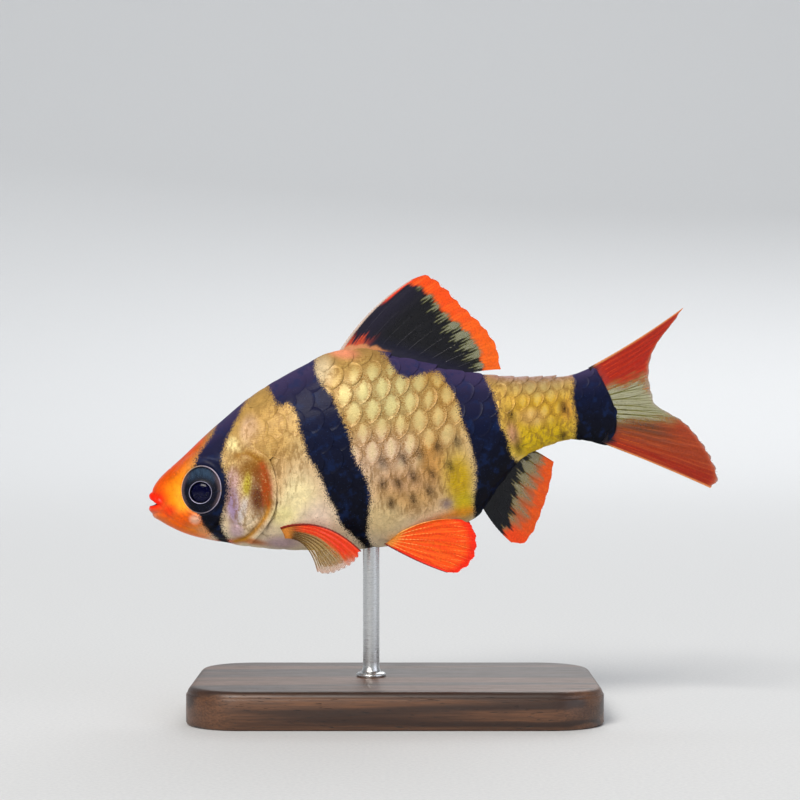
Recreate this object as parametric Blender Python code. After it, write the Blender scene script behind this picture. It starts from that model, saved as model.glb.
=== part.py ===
# Tiger barb (Puntigrus tetrazona), an adult, as a still life-size model on a plain display stand.
#
# Sizes are in millimetres and turned to metres when a mesh is made.
# Fish chart: X runs from the lips towards the tail, Z is height above the lowest gill membrane, and
# Y is sideways, with the fish's left side at -Y. The chart is drawn in the pose: nose a little low.
# Row frame: the chart shifted so that the origin is the centre of the stand's underside.

import math

import bmesh
import bpy
import numpy as np
from mathutils import Matrix, Vector

MM = 0.001
GAP = 0.3

# Stand
BASE_LENGTH = 44.0
BASE_WIDTH = 27.0
BASE_THICK = 4.0
BASE_CORNER = 6.0
BASE_CHAMFER = 0.7
BASE_CENTRE_X = 27.0
BELLY_ABOVE_FLOOR = 18.0
ROD_X = 24.4
ROD_RADIUS = 0.9
ROD_IN_BODY = 3.0
ROD_IN_BASE = 2.6

# Body profiles, as (X, size) stations read along the fish
BACK_LINE = [
    (0.4, 4.95), (0.5, 5.9), (0.7, 6.5), (1.45, 7.6), (3.5, 9.5), (7.9, 13.6), (12.3, 17.2),
    (16.7, 19.8), (20.9, 21.6), (23.3, 21.8), (27.7, 20.9), (34.3, 19.3), (40.9, 18.65),
    (44.9, 18.75), (48.8, 19.8), (51.8, 21.4),
]
BELLY_LINE = [
    (0.4, 4.95), (0.45, 4.2), (0.65, 3.45), (1.45, 2.9), (2.5, 2.3), (4.6, 1.4), (7.9, 0.65),
    (13.4, -0.2), (19.0, -0.45), (24.4, -0.1), (31.0, 1.2), (35.8, 3.2), (38.7, 7.0), (41.0, 9.7),
    (43.7, 11.0), (46.2, 11.7), (49.9, 11.05), (51.8, 10.7),
]
HALF_WIDTH = [
    (0.4, 0.0), (0.5, 0.85), (1.0, 1.4), (2.0, 2.0), (3.5, 2.6), (6.2, 3.3), (9.0, 3.95),
    (12.5, 4.35), (18.0, 4.6), (23.0, 4.55), (28.0, 4.25), (33.5, 3.6), (39.0, 2.65),
    (44.5, 1.85), (49.0, 1.05), (51.8, 0.55),
]
# Height of the widest place, as a share of the depth
WIDEST_AT = [(0.4, 0.5), (3.5, 0.44), (9.0, 0.42), (20.0, 0.46), (40.0, 0.52), (51.8, 0.5)]
# How sharp the back and the belly are: 1 is an ellipse, more is a keel
BACK_KEEL = [(0.4, 1.0), (6.0, 1.1), (14.0, 1.3), (30.0, 1.35), (44.0, 1.1), (51.8, 1.0)]
BELLY_KEEL = [(0.4, 1.0), (9.0, 0.95), (20.0, 0.85), (34.0, 1.15), (44.0, 1.05), (51.8, 1.0)]

BODY_START = BACK_LINE[0][0]
BODY_END = BACK_LINE[-1][0]
BODY_STATIONS = 44
BODY_RING = 28

# The tail swings away to the fish's right, and its fin twists a little
SWING_START = 30.0
SWING_RATE = 0.0037
TWIST_START = 50.0
TWIST_CENTRE_Z = 15.3
TWIST_RATE = 0.012

# Where the body is parted, as lines in the side view
GILL_SLIT = [
    (11.9, 19.0), (11.0, 15.0), (10.9, 12.4), (12.3, 10.9), (13.7, 9.3), (14.4, 7.0), (14.35, 5.0),
    (13.6, 3.1), (12.3, 1.6), (11.2, 0.4), (10.7, -2.0),
]
TAIL_ROOT_LINE = [(41.6, 21.0), (42.1, 15.0), (42.7, 8.0)]
TAIL_FIN_ROOT = [
    (48.1, 22.5), (48.75, 19.6), (49.6, 17.9), (50.5, 16.0), (51.0, 14.0), (50.8, 12.4),
    (50.0, 11.1), (49.2, 8.5),
]
JAW_CORNER = (1.15, 4.75)
JAW_SEAM = [JAW_CORNER, (2.5, 3.8), (3.6, 2.75), (4.6, 0.0)]
MOUTH_OPENING = 0.36

# Lips, rolls that follow the jaws round the snout from corner to corner
LIP_RADIUS = 0.42
LIP_PROUD = 0.24
LIP_TAPER = 0.35
LIP_END_X = 1.9
UPPER_LIP_Z = 5.55
LOWER_LIP_Z = 4.15

# Eye, flattened as a fish's is; the bulge is how far it stands out of the head
EYE_X = 6.2
EYE_Z = 6.45
EYE_HALF_LENGTH = 2.3
EYE_HALF_HEIGHT = 2.6
EYE_DEPTH = 1.55
EYE_BULGE = 0.62
ORBIT_RIM = 0.34
ORBIT_PROUD = 0.2

NOSTRIL_X = 3.35
NOSTRIL_Z = 8.0
NOSTRIL_RADIUS = 0.26
NOSTRIL_DEPTH = 0.4

# Gill cover, its outline in the side view
GILL_COVER = [
    (9.3, 8.4), (9.1, 5.6), (9.5, 2.9), (10.4, 1.3), (11.8, 2.1), (13.0, 3.6), (13.6, 5.5),
    (13.6, 7.4), (12.8, 9.2), (11.3, 10.2), (9.9, 9.8),
]
COVER_THICK = 0.8
COVER_PROUD = 0.12
COVER_AROUND = 32

# Fins
MEMBRANE = 0.5
FIN_EDGE = 0.18
SCALLOP = 0.03
# Height of a ray's ridge, the share of it left at the fin's edge, and what each of the columns
# between two rays has of it where the ray is single and where it has forked
RAY_RAISE = 0.14
RAISE_AT_EDGE = 0.5
COLUMNS_A_RAY = 4
SINGLE_RAY = (1.0, 0.3, 0.0, 0.3)
FORKED_RAY = (0.25, 0.9, 0.0, 0.9)
FORKS_FROM = 0.45
FORKS_TO = 0.7

DORSAL_ROOT = (20.9, 33.7)
DORSAL_EDGE = [
    (29.1, 29.4), (30.5, 29.7), (32.0, 28.6), (34.2, 26.4), (36.4, 24.3), (38.0, 22.0), (38.5, 19.4),
]
DORSAL_RAYS = 11
DORSAL_BOW = [(-1.0, 0, 1.0), (0, 0, 0.25)]
ANAL_ROOT = (36.5, 41.6)
ANAL_EDGE = [
    (39.7, 0.55), (40.9, 0.4), (41.9, 1.4), (42.8, 3.4), (43.5, 5.4), (44.0, 7.3), (44.3, 9.3),
]
ANAL_RAYS = 8
ANAL_BOW = [(-0.3, 0, -0.4), (0.2, 0, 0)]
TAIL_UPPER_EDGE = [
    (58.85, 26.2), (58.1, 25.1), (57.2, 24.0), (56.3, 22.9), (55.5, 21.6), (55.0, 20.2), (54.9, 18.5),
    (55.2, 16.9), (55.6, 15.75),
]
TAIL_LOWER_EDGE = [
    (55.6, 15.35), (57.0, 14.7), (58.7, 13.7), (60.1, 12.3), (61.2, 10.8), (62.0, 9.3), (62.5, 8.0),
    (62.4, 6.9), (61.6, 6.4),
]
TAIL_UPPER_BOW = [(0.2, 0, -0.35), (0, 0, 0)]
TAIL_LOWER_BOW = [(0, 0, 0), (-0.2, 0, 0.3)]
TAIL_LOBE_RAYS = 9
TAIL_SPLIT_Z = 15.3
PECTORAL_ROOT = [(14.75, 2.3), (15.05, 1.75), (15.2, 1.25)]
PECTORAL_EDGE = [
    (23.4, -6.0, 0.0), (22.8, -5.9, -1.0), (21.8, -5.6, -1.75), (20.6, -5.2, -2.3),
    (19.5, -4.8, -2.5), (18.7, -4.4, -2.3),
]
PECTORAL_BOW = [(0.3, -0.2, 2.7), (0.9, -0.4, 1.9)]
PECTORAL_RAYS = 10
PELVIC_ROOT = [(25.9, -1.2), (26.5, -1.55), (27.1, -1.9)]
PELVIC_EDGE = [
    (32.6, -2.7, -2.5), (33.7, -2.8, -2.5), (34.9, -2.9, -1.7), (35.6, -3.0, -0.6),
    (35.8, -3.1, 0.7), (35.6, -3.1, 1.9), (35.0, -3.1, 2.8), (34.1, -3.1, 3.2),
]
PELVIC_BOW = [(0.2, -0.4, -0.5), (-0.2, -1.1, 1.3)]
PELVIC_RAYS = 8


def eased(stations, root_spaced=False):
    """A smooth function through (position, value) stations that never overshoots them. With
    root_spaced the curve starts square to the axis, as a rounded nose does."""
    at, value = (np.array(column, float) for column in zip(*stations))
    first = at[0]
    if root_spaced:
        at = np.sqrt(at - first)
    step = np.diff(at)
    slope = np.diff(value) / step
    tangent = np.zeros(len(at))
    tangent[0], tangent[-1] = slope[0], slope[-1]
    for i in range(1, len(at) - 1):
        if slope[i - 1] * slope[i] > 0:
            before, after = 2 * step[i] + step[i - 1], step[i] + 2 * step[i - 1]
            tangent[i] = (before + after) / (before / slope[i - 1] + after / slope[i])

    def curve(position):
        p = np.sqrt(np.clip(position - first, 0, None)) if root_spaced else position
        p = np.clip(p, at[0], at[-1])
        i = np.clip(np.searchsorted(at, p, side="right") - 1, 0, len(step) - 1)
        t = (p - at[i]) / step[i]
        return (
            value[i] * (1 + 2 * t) * (1 - t) ** 2
            + tangent[i] * step[i] * t * (1 - t) ** 2
            + value[i + 1] * t * t * (3 - 2 * t)
            + tangent[i + 1] * step[i] * t * t * (t - 1)
        )

    return curve


back_line = eased(BACK_LINE, root_spaced=True)
belly_line = eased(BELLY_LINE, root_spaced=True)
half_width = eased(HALF_WIDTH, root_spaced=True)
widest_at = eased(WIDEST_AT)
back_keel = eased(BACK_KEEL)
belly_keel = eased(BELLY_KEEL)


def widest_height(x):
    return belly_line(x) + widest_at(x) * (back_line(x) - belly_line(x))


def flank(x, z):
    """How far the body's side stands from the middle plane at a place in the side view."""
    middle = widest_height(x)
    above = z > middle
    reach = np.where(above, back_line(x) - middle, middle - belly_line(x))
    keel = np.where(above, back_keel(x), belly_keel(x))
    share = np.clip((z - middle) / reach, -1, 1)
    return half_width(x) * np.maximum(1 - share**2, 0) ** (keel / 2)


def underside(x, y):
    """Height of the belly at a place seen from below."""
    share = min(abs(y) / float(half_width(x)), 1) ** (1 / float(belly_keel(x)))
    middle = float(widest_height(x))
    return middle - math.sqrt(1 - share**2) * (middle - float(belly_line(x)))


def flank_normal(x, z):
    """The left side's outward normal at a place in the side view."""
    d = 0.05
    along = (flank(x + d, z) - flank(x - d, z)) / (2 * d)
    up = (flank(x, z + d) - flank(x, z - d)) / (2 * d)
    return Vector((-float(along), -1, -float(up))).normalized()


def through(points, count, closed=False):
    """count points evenly spaced on a smooth curve through the given ones."""
    p = np.array(points, float)
    if closed:
        p = np.vstack([p[-1], p, p[0], p[1]])
    else:
        p = np.vstack([2 * p[0] - p[1], p, 2 * p[-1] - p[-2]])
    t = np.linspace(0, 1, 24, endpoint=False)[:, None]
    pieces = []
    for a, b, c, d in zip(p, p[1:], p[2:], p[3:]):
        pieces.append(
            0.5 * (2 * b + (c - a) * t + (2 * a - 5 * b + 4 * c - d) * t**2 + (3 * b - a - 3 * c + d) * t**3)
        )
    fine = np.vstack([*pieces, p[-2]])
    length = np.concatenate([[0], np.cumsum(np.linalg.norm(np.diff(fine, axis=0), axis=1))])
    wanted = np.linspace(0, length[-1], count, endpoint=not closed)
    return np.column_stack([np.interp(wanted, length, fine[:, k]) for k in range(p.shape[1])])


def beside(line, distance):
    """A line in the side view, moved sideways; a positive distance moves a falling line to the tail."""
    run = np.gradient(np.array(line, float), axis=0)
    run /= np.linalg.norm(run, axis=1)[:, None]
    return line + distance * np.column_stack([-run[:, 1], run[:, 0]])


def in_row(x, y, z):
    """Row-frame place, in metres, of a chart point."""
    return ((x - BASE_CENTRE_X) * MM, y * MM, (z + BELLY_ABOVE_FLOOR) * MM)


def in_pose(x, y, z):
    """The same for a point of the fish, with the tail's swing and twist."""
    swing = SWING_RATE * max(x - SWING_START, 0) ** 2
    twist = TWIST_RATE * max(x - TWIST_START, 0) * (z - TWIST_CENTRE_Z)
    return in_row(x, y + swing + twist, z)


def mesh_object(name, points, faces, place=in_pose):
    """A mesh from chart points, with its faces turned outwards."""
    mesh = bpy.data.meshes.new(name)
    places = [place(*p) for p in points]
    mesh.from_pydata(places, [], [list(f) for f in faces])
    work = bmesh.new()
    work.from_mesh(mesh)
    bmesh.ops.triangulate(work, faces=work.faces[:])
    bmesh.ops.recalc_face_normals(work, faces=work.faces[:])
    work.to_mesh(mesh)
    work.free()
    obj = bpy.data.objects.new(name, mesh)
    bpy.context.scene.collection.objects.link(obj)
    return obj


def combine(target, tools, operation):
    """Joins the tools to the target, cuts them from it or keeps what they share, then removes them."""
    group = bpy.data.collections.new("tools")
    bpy.context.scene.collection.children.link(group)
    for tool in tools:
        bpy.context.scene.collection.objects.unlink(tool)
        group.objects.link(tool)
    change = target.modifiers.new("combine", "BOOLEAN")
    change.operation = operation
    change.solver = "EXACT"
    change.operand_type = "COLLECTION"
    change.collection = group
    bpy.context.view_layer.update()
    graph = bpy.context.evaluated_depsgraph_get()
    made = bpy.data.meshes.new_from_object(target.evaluated_get(graph))
    target.modifiers.remove(change)
    target.data = made
    for tool in tools:
        bpy.data.objects.remove(tool)
    bpy.data.collections.remove(group)
    keep_largest(target)
    return target


def keep_largest(obj):
    """Drops every closed surface but the largest, so that the node stays one body."""
    work = bmesh.new()
    work.from_mesh(obj.data)
    bmesh.ops.triangulate(work, faces=work.faces[:])
    unseen, shells = set(work.faces), []
    while unseen:
        shell, front = set(), [unseen.pop()]
        while front:
            face = front.pop()
            shell.add(face)
            for edge in face.edges:
                for other in edge.link_faces:
                    if other in unseen:
                        unseen.discard(other)
                        front.append(other)
        shells.append(shell)
    shells.sort(key=lambda shell: sum(face.calc_area() for face in shell))
    loose = [face for shell in shells[:-1] for face in shell]
    bmesh.ops.delete(work, geom=loose, context="FACES")
    work.to_mesh(obj.data)
    work.free()


def finish(obj, colour, roughness, metallic=0.0):
    """Gives a node its material and shading."""
    material = bpy.data.materials.new(obj.name)
    material.use_nodes = True
    shader = material.node_tree.nodes["Principled BSDF"]
    shader.inputs["Base Color"].default_value = (*colour, 1)
    shader.inputs["Roughness"].default_value = roughness
    shader.inputs["Metallic"].default_value = metallic
    obj.data.materials.clear()
    obj.data.materials.append(material)
    obj.data.shade_smooth()
    obj.data.set_sharp_from_angle(angle=math.radians(35))
    return obj


def body():
    """The whole body from the lips to the tail fin's root, as one closed loft of upright sections."""
    stations = BODY_START + (BODY_END - BODY_START) * np.linspace(0, 1, BODY_STATIONS + 1)[1:] ** 1.35
    angles = np.linspace(0, 2 * math.pi, BODY_RING, endpoint=False)
    points = [(BODY_START, 0.0, BACK_LINE[0][1])]
    for x in stations:
        for angle in angles:
            rise = math.sin(angle)
            middle = float(widest_height(x))
            edge = float(back_line(x) if rise > 0 else belly_line(x))
            z = middle + abs(rise) * (edge - middle)
            keel = float(back_keel(x) if rise > 0 else belly_keel(x))
            side = math.copysign(abs(math.cos(angle)) ** keel, math.cos(angle))
            points.append((x, float(half_width(x)) * side, z))
    faces = [(0, 1 + (i + 1) % BODY_RING, 1 + i) for i in range(BODY_RING)]
    for s in range(BODY_STATIONS - 1):
        row, following = 1 + s * BODY_RING, 1 + (s + 1) * BODY_RING
        for i in range(BODY_RING):
            j = (i + 1) % BODY_RING
            faces.append((row + i, row + j, following + j, following + i))
    faces.append(range(1 + (BODY_STATIONS - 1) * BODY_RING, 1 + BODY_STATIONS * BODY_RING))
    return mesh_object("body", points, faces)


def slab(name, outline, reach=9.0):
    """An upright prism through the fish whose outline is drawn in the side view."""
    count = len(outline)
    points = [(x, y, z) for y in (-reach, reach) for x, z in outline]
    faces = [range(count), range(2 * count - 1, count - 1, -1)]
    faces += [(i, (i + 1) % count, count + (i + 1) % count, count + i) for i in range(count)]
    return mesh_object(name, points, faces)


def tube(name, path, radius, sides=10, closed=False):
    """A round bar along a path of chart points, or a ring where the path is closed. The radius is one
    size or one for each point."""
    path = [Vector(p) for p in path]
    count = len(path)
    radii = [radius] * count if isinstance(radius, float) else radius
    points, faces = [], []
    for i, centre in enumerate(path):
        ahead = path[(i + 1) % count if closed else min(i + 1, count - 1)]
        run = ahead - path[i - 1 if closed or i else 0]
        across = run.cross(Vector((0.05, 0.1, 1))).normalized()
        up = across.cross(run).normalized()
        for k in range(sides):
            a = 2 * math.pi * k / sides
            points.append(tuple(centre + radii[i] * (math.cos(a) * across + math.sin(a) * up)))
    for i in range(count if closed else count - 1):
        a, b = i * sides, (i + 1) % count * sides
        for k in range(sides):
            j = (k + 1) % sides
            faces.append((a + k, a + j, b + j, b + k))
    if not closed:
        faces += [range(sides), range(count * sides - 1, (count - 1) * sides - 1, -1)]
    return mesh_object(name, points, faces)


def lip(name, height):
    """A lip: a soft roll sunk in the jaw's edge, thinner towards the mouth corners."""
    front = BODY_START + LIP_RADIUS - LIP_PROUD
    one_side, radii = [], []
    for turn in np.linspace(0, math.pi / 2, 7)[1:]:
        x = front + (LIP_END_X - front) * (1 - math.cos(turn))
        share = (x - front) / (LIP_END_X - front)
        z = height + (JAW_CORNER[1] - height) * share**2
        radii.append(LIP_RADIUS * (1 - LIP_TAPER * share))
        one_side.append((x, max(float(flank(x, z)) - radii[-1] + LIP_PROUD * (1 - share), 0.2), z))
    path = [(x, -y, z) for x, y, z in reversed(one_side)] + [(front, 0, height)] + one_side
    return tube(name, path, radii[::-1] + [LIP_RADIUS] + radii)


def eye_frame(side):
    """The eye's centre and its turn: local Z looks out of the head."""
    normal = flank_normal(EYE_X, EYE_Z)
    on_skin = Vector((EYE_X, -float(flank(EYE_X, EYE_Z)), EYE_Z))
    centre = on_skin - normal * (EYE_DEPTH - EYE_BULGE)
    if side > 0:
        normal.y, centre.y = -normal.y, -centre.y
    return centre, normal.to_track_quat("Z", "Y").to_matrix()


def eye(name, side, grow=0.0, segments=28, rings=13):
    """A flattened eyeball, grown by a margin where it cuts its socket."""
    centre, turn = eye_frame(side)
    long, high, deep = EYE_HALF_LENGTH + grow, EYE_HALF_HEIGHT + grow, EYE_DEPTH + grow
    points = [(0, 0, deep)]
    for r in range(1, rings):
        polar = math.pi * r / rings
        for s in range(segments):
            around = 2 * math.pi * s / segments
            x, y = long * math.cos(around), high * math.sin(around)
            points.append((x * math.sin(polar), y * math.sin(polar), deep * math.cos(polar)))
    points.append((0, 0, -deep))
    last = len(points) - 1
    faces = [(0, 1 + s, 1 + (s + 1) % segments) for s in range(segments)]
    for r in range(rings - 2):
        for s in range(segments):
            a, b = 1 + r * segments, 1 + (r + 1) * segments
            t = (s + 1) % segments
            faces.append((a + s, b + s, b + t, a + t))
    faces += [(last, last - segments + (s + 1) % segments, last - segments + s) for s in range(segments)]
    placed = [tuple(centre + turn @ Vector(p)) for p in points]
    return mesh_object(name, placed, faces)


def orbit_ring(name, side, segments=28):
    """The low rim of skin round the eye, sunk in the head."""
    path = []
    for around in np.linspace(0, 2 * math.pi, segments, endpoint=False):
        x = EYE_X + (EYE_HALF_LENGTH + ORBIT_RIM) * math.cos(around)
        z = EYE_Z + (EYE_HALF_HEIGHT + ORBIT_RIM) * math.sin(around)
        path.append((x, side * (float(flank(x, z)) - ORBIT_RIM + ORBIT_PROUD), z))
    return tube(name, path, ORBIT_RIM, sides=8, closed=True)


def side_plate(name, side, grow, outer, inner):
    """A plate that follows the flank inside the gill cover's outline, between two depths."""
    outline = through(GILL_COVER, COVER_AROUND, closed=True)
    middle = outline.mean(axis=0)
    away = outline - middle
    reach = np.linalg.norm(away, axis=1)[:, None]
    outline = middle + away * (reach + grow) / reach
    rings = (0.3, 0.62, 0.86, 1.0)
    spots = [middle] + [middle + (p - middle) * r for r in rings for p in outline]
    points = []
    for depth in (outer, inner):
        for x, z in spots:
            slant = max(-flank_normal(x, z).y, 0.45)
            points.append((x, side * max(float(flank(x, z)) + depth / slant, 0.3), z))
    per_side = len(spots)
    faces = []
    for base in (0, per_side):
        faces += [(base, base + 1 + i, base + 1 + (i + 1) % COVER_AROUND) for i in range(COVER_AROUND)]
        for r in range(len(rings) - 1):
            a, b = base + 1 + r * COVER_AROUND, base + 1 + (r + 1) * COVER_AROUND
            for i in range(COVER_AROUND):
                j = (i + 1) % COVER_AROUND
                faces += [(a + i, b + i, b + j), (a + i, b + j, a + j)]
    rim = 1 + (len(rings) - 1) * COVER_AROUND
    for i in range(COVER_AROUND):
        j = (i + 1) % COVER_AROUND
        faces.append((rim + i, per_side + rim + i, per_side + rim + j, rim + j))
    return mesh_object(name, points, faces)


def nostril(side):
    """A short bore that leaves a nostril in the snout."""
    normal = flank_normal(NOSTRIL_X, NOSTRIL_Z)
    spot = Vector((NOSTRIL_X, -float(flank(NOSTRIL_X, NOSTRIL_Z)), NOSTRIL_Z))
    ends = [spot + normal * NOSTRIL_DEPTH, spot - normal * NOSTRIL_DEPTH]
    for end in ends:
        end.y *= -side
    return tube("nostril", ends, NOSTRIL_RADIUS, sides=10)


def rod(name, radius, bottom, top, sides=20):
    """An upright round bar at the rod's place."""
    ring = [(math.cos(2 * math.pi * k / sides), math.sin(2 * math.pi * k / sides)) for k in range(sides)]
    points = [(ROD_X + radius * c, radius * s, z) for z in (bottom, top) for c, s in ring]
    faces = [range(sides - 1, -1, -1), range(sides, 2 * sides)]
    faces += [(k, (k + 1) % sides, sides + (k + 1) % sides, sides + k) for k in range(sides)]
    return mesh_object(name, points, faces, place=in_row)


def ray_raise(column, share, simple_rays):
    """The height of the ridge at this column of the fin and this share of its length. The first
    simple_rays don't fork."""
    ray = round(column / COLUMNS_A_RAY)
    forked = 0.0 if ray < simple_rays else min(max((share - FORKS_FROM) / (FORKS_TO - FORKS_FROM), 0), 1)
    place = column % COLUMNS_A_RAY
    shape = SINGLE_RAY[place] * (1 - forked) + FORKED_RAY[place] * forked
    return RAY_RAISE * shape * (1 - (1 - RAISE_AT_EDGE) * share)


def fin(name, roots, edge, rays, bows, rows, simple_rays, mirror=False, in_plane=False):
    """A fin: rays fan from the roots to the edge and stand as ridges on a membrane. bows bend the
    first and the last ray, and the two faces share one triangle pattern."""
    columns = COLUMNS_A_RAY * (rays - 1) + 1
    start, stop = through(roots, columns), through(edge, columns)
    if start.shape[1] == 2:
        start, stop = (np.insert(p, 1, 0.0, axis=1) for p in (start, stop))
    first_bow, last_bow = (np.array(b, float) for b in bows)
    grid = np.zeros((columns, rows + 1, 3))
    half = np.zeros((columns, rows + 1))
    for i in range(columns):
        across = i / (columns - 1)
        control = (start[i] + stop[i]) / 2 + first_bow * (1 - across) + last_bow * across
        between = 1 if i % COLUMNS_A_RAY == COLUMNS_A_RAY // 2 else 0
        for j in range(rows + 1):
            share = j / rows
            t = share * (1 - SCALLOP * between)
            grid[i, j] = (1 - t) ** 2 * start[i] + 2 * t * (1 - t) * control + t * t * stop[i]
            half[i, j] = FIN_EDGE / 2 if j == rows else MEMBRANE / 2 + ray_raise(i, share, simple_rays)
    if in_plane:
        normal = np.zeros_like(grid)
        normal[..., 1] = 1
    else:
        normal = np.cross(np.gradient(grid, axis=0), np.gradient(grid, axis=1))
        normal /= np.linalg.norm(normal, axis=2)[..., None]
    sides = [grid + normal * half[..., None], grid - normal * half[..., None]]
    points = np.concatenate([s.reshape(-1, 3) for s in sides])
    if mirror:
        points[:, 1] *= -1
    count = columns * (rows + 1)

    def at(i, j):
        return i * (rows + 1) + j

    faces = []
    for i in range(columns - 1):
        for j in range(rows):
            a, b, c, d = at(i, j), at(i + 1, j), at(i + 1, j + 1), at(i, j + 1)
            faces += [(a, b, c), (a, c, d)]
            faces += [(count + a, count + c, count + b), (count + a, count + d, count + c)]
    rim = [at(i, 0) for i in range(columns)] + [at(columns - 1, j) for j in range(1, rows + 1)]
    rim += [at(i, rows) for i in range(columns - 2, -1, -1)] + [at(0, j) for j in range(rows - 1, 0, -1)]
    for a, b in zip(rim, rim[1:] + rim[:1]):
        faces += [(a, count + a, count + b), (a, count + b, b)]
    return mesh_object(name, points.tolist(), faces)


def make_body_nodes():
    """Parts the body into head, lower jaw, trunk and tail stem, and opens mouth, nose and sockets."""
    slit = through(GILL_SLIT, 18)
    tail_line = through(TAIL_ROOT_LINE, 3)
    fin_root = through(TAIL_FIN_ROOT, 12)
    seam = np.array(JAW_SEAM)
    above, below, ahead, behind = 30.0, -5.0, -3.0, 60.0
    half_gap = GAP / 2
    opening = MOUTH_OPENING * (JAW_CORNER[0] - ahead)
    mouth_top, mouth_bottom = (ahead, JAW_CORNER[1] + opening), (ahead, JAW_CORNER[1] - opening)
    upper_seam, lower_seam = beside(seam, half_gap), beside(seam, -half_gap)
    head_outline = [mouth_top, *upper_seam, (upper_seam[-1][0], below), (slit[-1][0], below)]
    head_outline += [*beside(slit, -half_gap)[::-1], (ahead, above)]
    jaw_outline = [mouth_bottom, *lower_seam, (lower_seam[-1][0], below), (ahead, below)]
    trunk_outline = [*beside(slit, half_gap), (tail_line[-1][0], below)]
    trunk_outline += [*beside(tail_line, -half_gap)[::-1], (slit[0][0], above)]
    stem_outline = [*beside(tail_line, half_gap), (fin_root[-1][0], below)]
    stem_outline += [*beside(fin_root, -half_gap)[::-1], (tail_line[0][0], above)]

    head = combine(body(), [lip("upper_lip", UPPER_LIP_Z), lip("lower_lip", LOWER_LIP_Z)], "UNION")
    jaw, trunk, stem = (head.copy() for _ in range(3))
    for obj, name, outline in (
        (head, "head", head_outline),
        (jaw, "lower_jaw", jaw_outline),
        (trunk, "trunk", trunk_outline),
        (stem, "tail_stem", stem_outline),
    ):
        obj.name = name
        obj.data = obj.data.copy()
        if obj is not head:
            bpy.context.scene.collection.objects.link(obj)
        combine(obj, [slab(name + "_region", outline)], "INTERSECT")
    combine(head, [orbit_ring("rim", side) for side in (-1, 1)], "UNION")
    cuts = [eye("socket", side, grow=GAP) for side in (-1, 1)]
    cuts += [side_plate("recess", side, GAP, COVER_THICK, -COVER_THICK - GAP) for side in (-1, 1)]
    cuts += [nostril(side) for side in (-1, 1)]
    combine(head, cuts, "DIFFERENCE")
    combine(trunk, [rod("rod_hole", ROD_RADIUS + GAP, below, ROD_IN_BODY + GAP)], "DIFFERENCE")
    return head, jaw, trunk, stem


def make_fins():
    """The seven fins, the forked tail fin as its two lobes."""
    back = [(x, float(back_line(x)) + GAP) for x in np.linspace(*DORSAL_ROOT, 6)]
    vent = [(x + 0.12, float(belly_line(x)) - GAP) for x in np.linspace(*ANAL_ROOT, 6)]
    tail_root = beside(through(TAIL_FIN_ROOT, 25), GAP / 2)
    inside = [p for p in tail_root if belly_line(p[0]) + 0.3 < p[1] < back_line(p[0]) - 0.3]
    split = TAIL_SPLIT_Z
    upper_root = [p for p in inside if p[1] > split + 0.4] + [(50.9, split + GAP / 2)]
    lower_root = [(50.95, split - GAP / 2)] + [p for p in inside if p[1] < split - 0.4]
    upright = [
        ("dorsal_fin", back, DORSAL_EDGE, DORSAL_RAYS, DORSAL_BOW, 6, 2),
        ("anal_fin", vent, ANAL_EDGE, ANAL_RAYS, ANAL_BOW, 5, 1),
        ("tail_fin_upper", upper_root, TAIL_UPPER_EDGE, TAIL_LOBE_RAYS, TAIL_UPPER_BOW, 7, 1),
        ("tail_fin_lower", lower_root, TAIL_LOWER_EDGE, TAIL_LOBE_RAYS, TAIL_LOWER_BOW, 7, 0),
    ]
    made = [fin(*sizes, in_plane=True) for sizes in upright]
    stand_off = GAP + MEMBRANE / 2 + RAY_RAISE
    chest = [(x, -float(flank(x, z)) - stand_off, z) for x, z in PECTORAL_ROOT]
    belly = [(x, y, underside(x, y) - stand_off) for x, y in PELVIC_ROOT]
    paired = [
        ("pectoral_fin_", chest, PECTORAL_EDGE, PECTORAL_RAYS, PECTORAL_BOW, 6, 1),
        ("pelvic_fin_", belly, PELVIC_EDGE, PELVIC_RAYS, PELVIC_BOW, 6, 1),
    ]
    for name, *sizes in paired:
        made += [fin(name + "left", *sizes), fin(name + "right", *sizes, mirror=True)]
    return made


def make_base():
    """The stand's base: a flat block with round corners and a chamfered top edge, bored for the rod."""
    points, corner_steps = [], 6
    rings = [(0.0, 0.0), (0.0, BASE_THICK - BASE_CHAMFER), (BASE_CHAMFER, BASE_THICK)]
    for inset, z in rings:
        for quarter in range(4):
            east, north = (1, -1, -1, 1)[quarter], (1, 1, -1, -1)[quarter]
            cx = BASE_CENTRE_X + east * (BASE_LENGTH / 2 - BASE_CORNER)
            cy = north * (BASE_WIDTH / 2 - BASE_CORNER)
            for k in range(corner_steps + 1):
                a = math.pi / 2 * (quarter + k / corner_steps)
                r = BASE_CORNER - inset
                points.append((cx + r * math.cos(a), cy + r * math.sin(a), z - BELLY_ABOVE_FLOOR))
    around = 4 * (corner_steps + 1)
    faces = [range(around - 1, -1, -1), range(2 * around, 3 * around)]
    for level in range(2):
        for i in range(around):
            j = (i + 1) % around
            a, b = level * around, (level + 1) * around
            faces.append((a + i, a + j, b + j, b + i))
    base = mesh_object("stand_base", points, faces, place=in_row)
    floor_of_bore = BASE_THICK - BELLY_ABOVE_FLOOR - ROD_IN_BASE - GAP
    return combine(base, [rod("bore", ROD_RADIUS + GAP, floor_of_bore, 0.0)], "DIFFERENCE")


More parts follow.
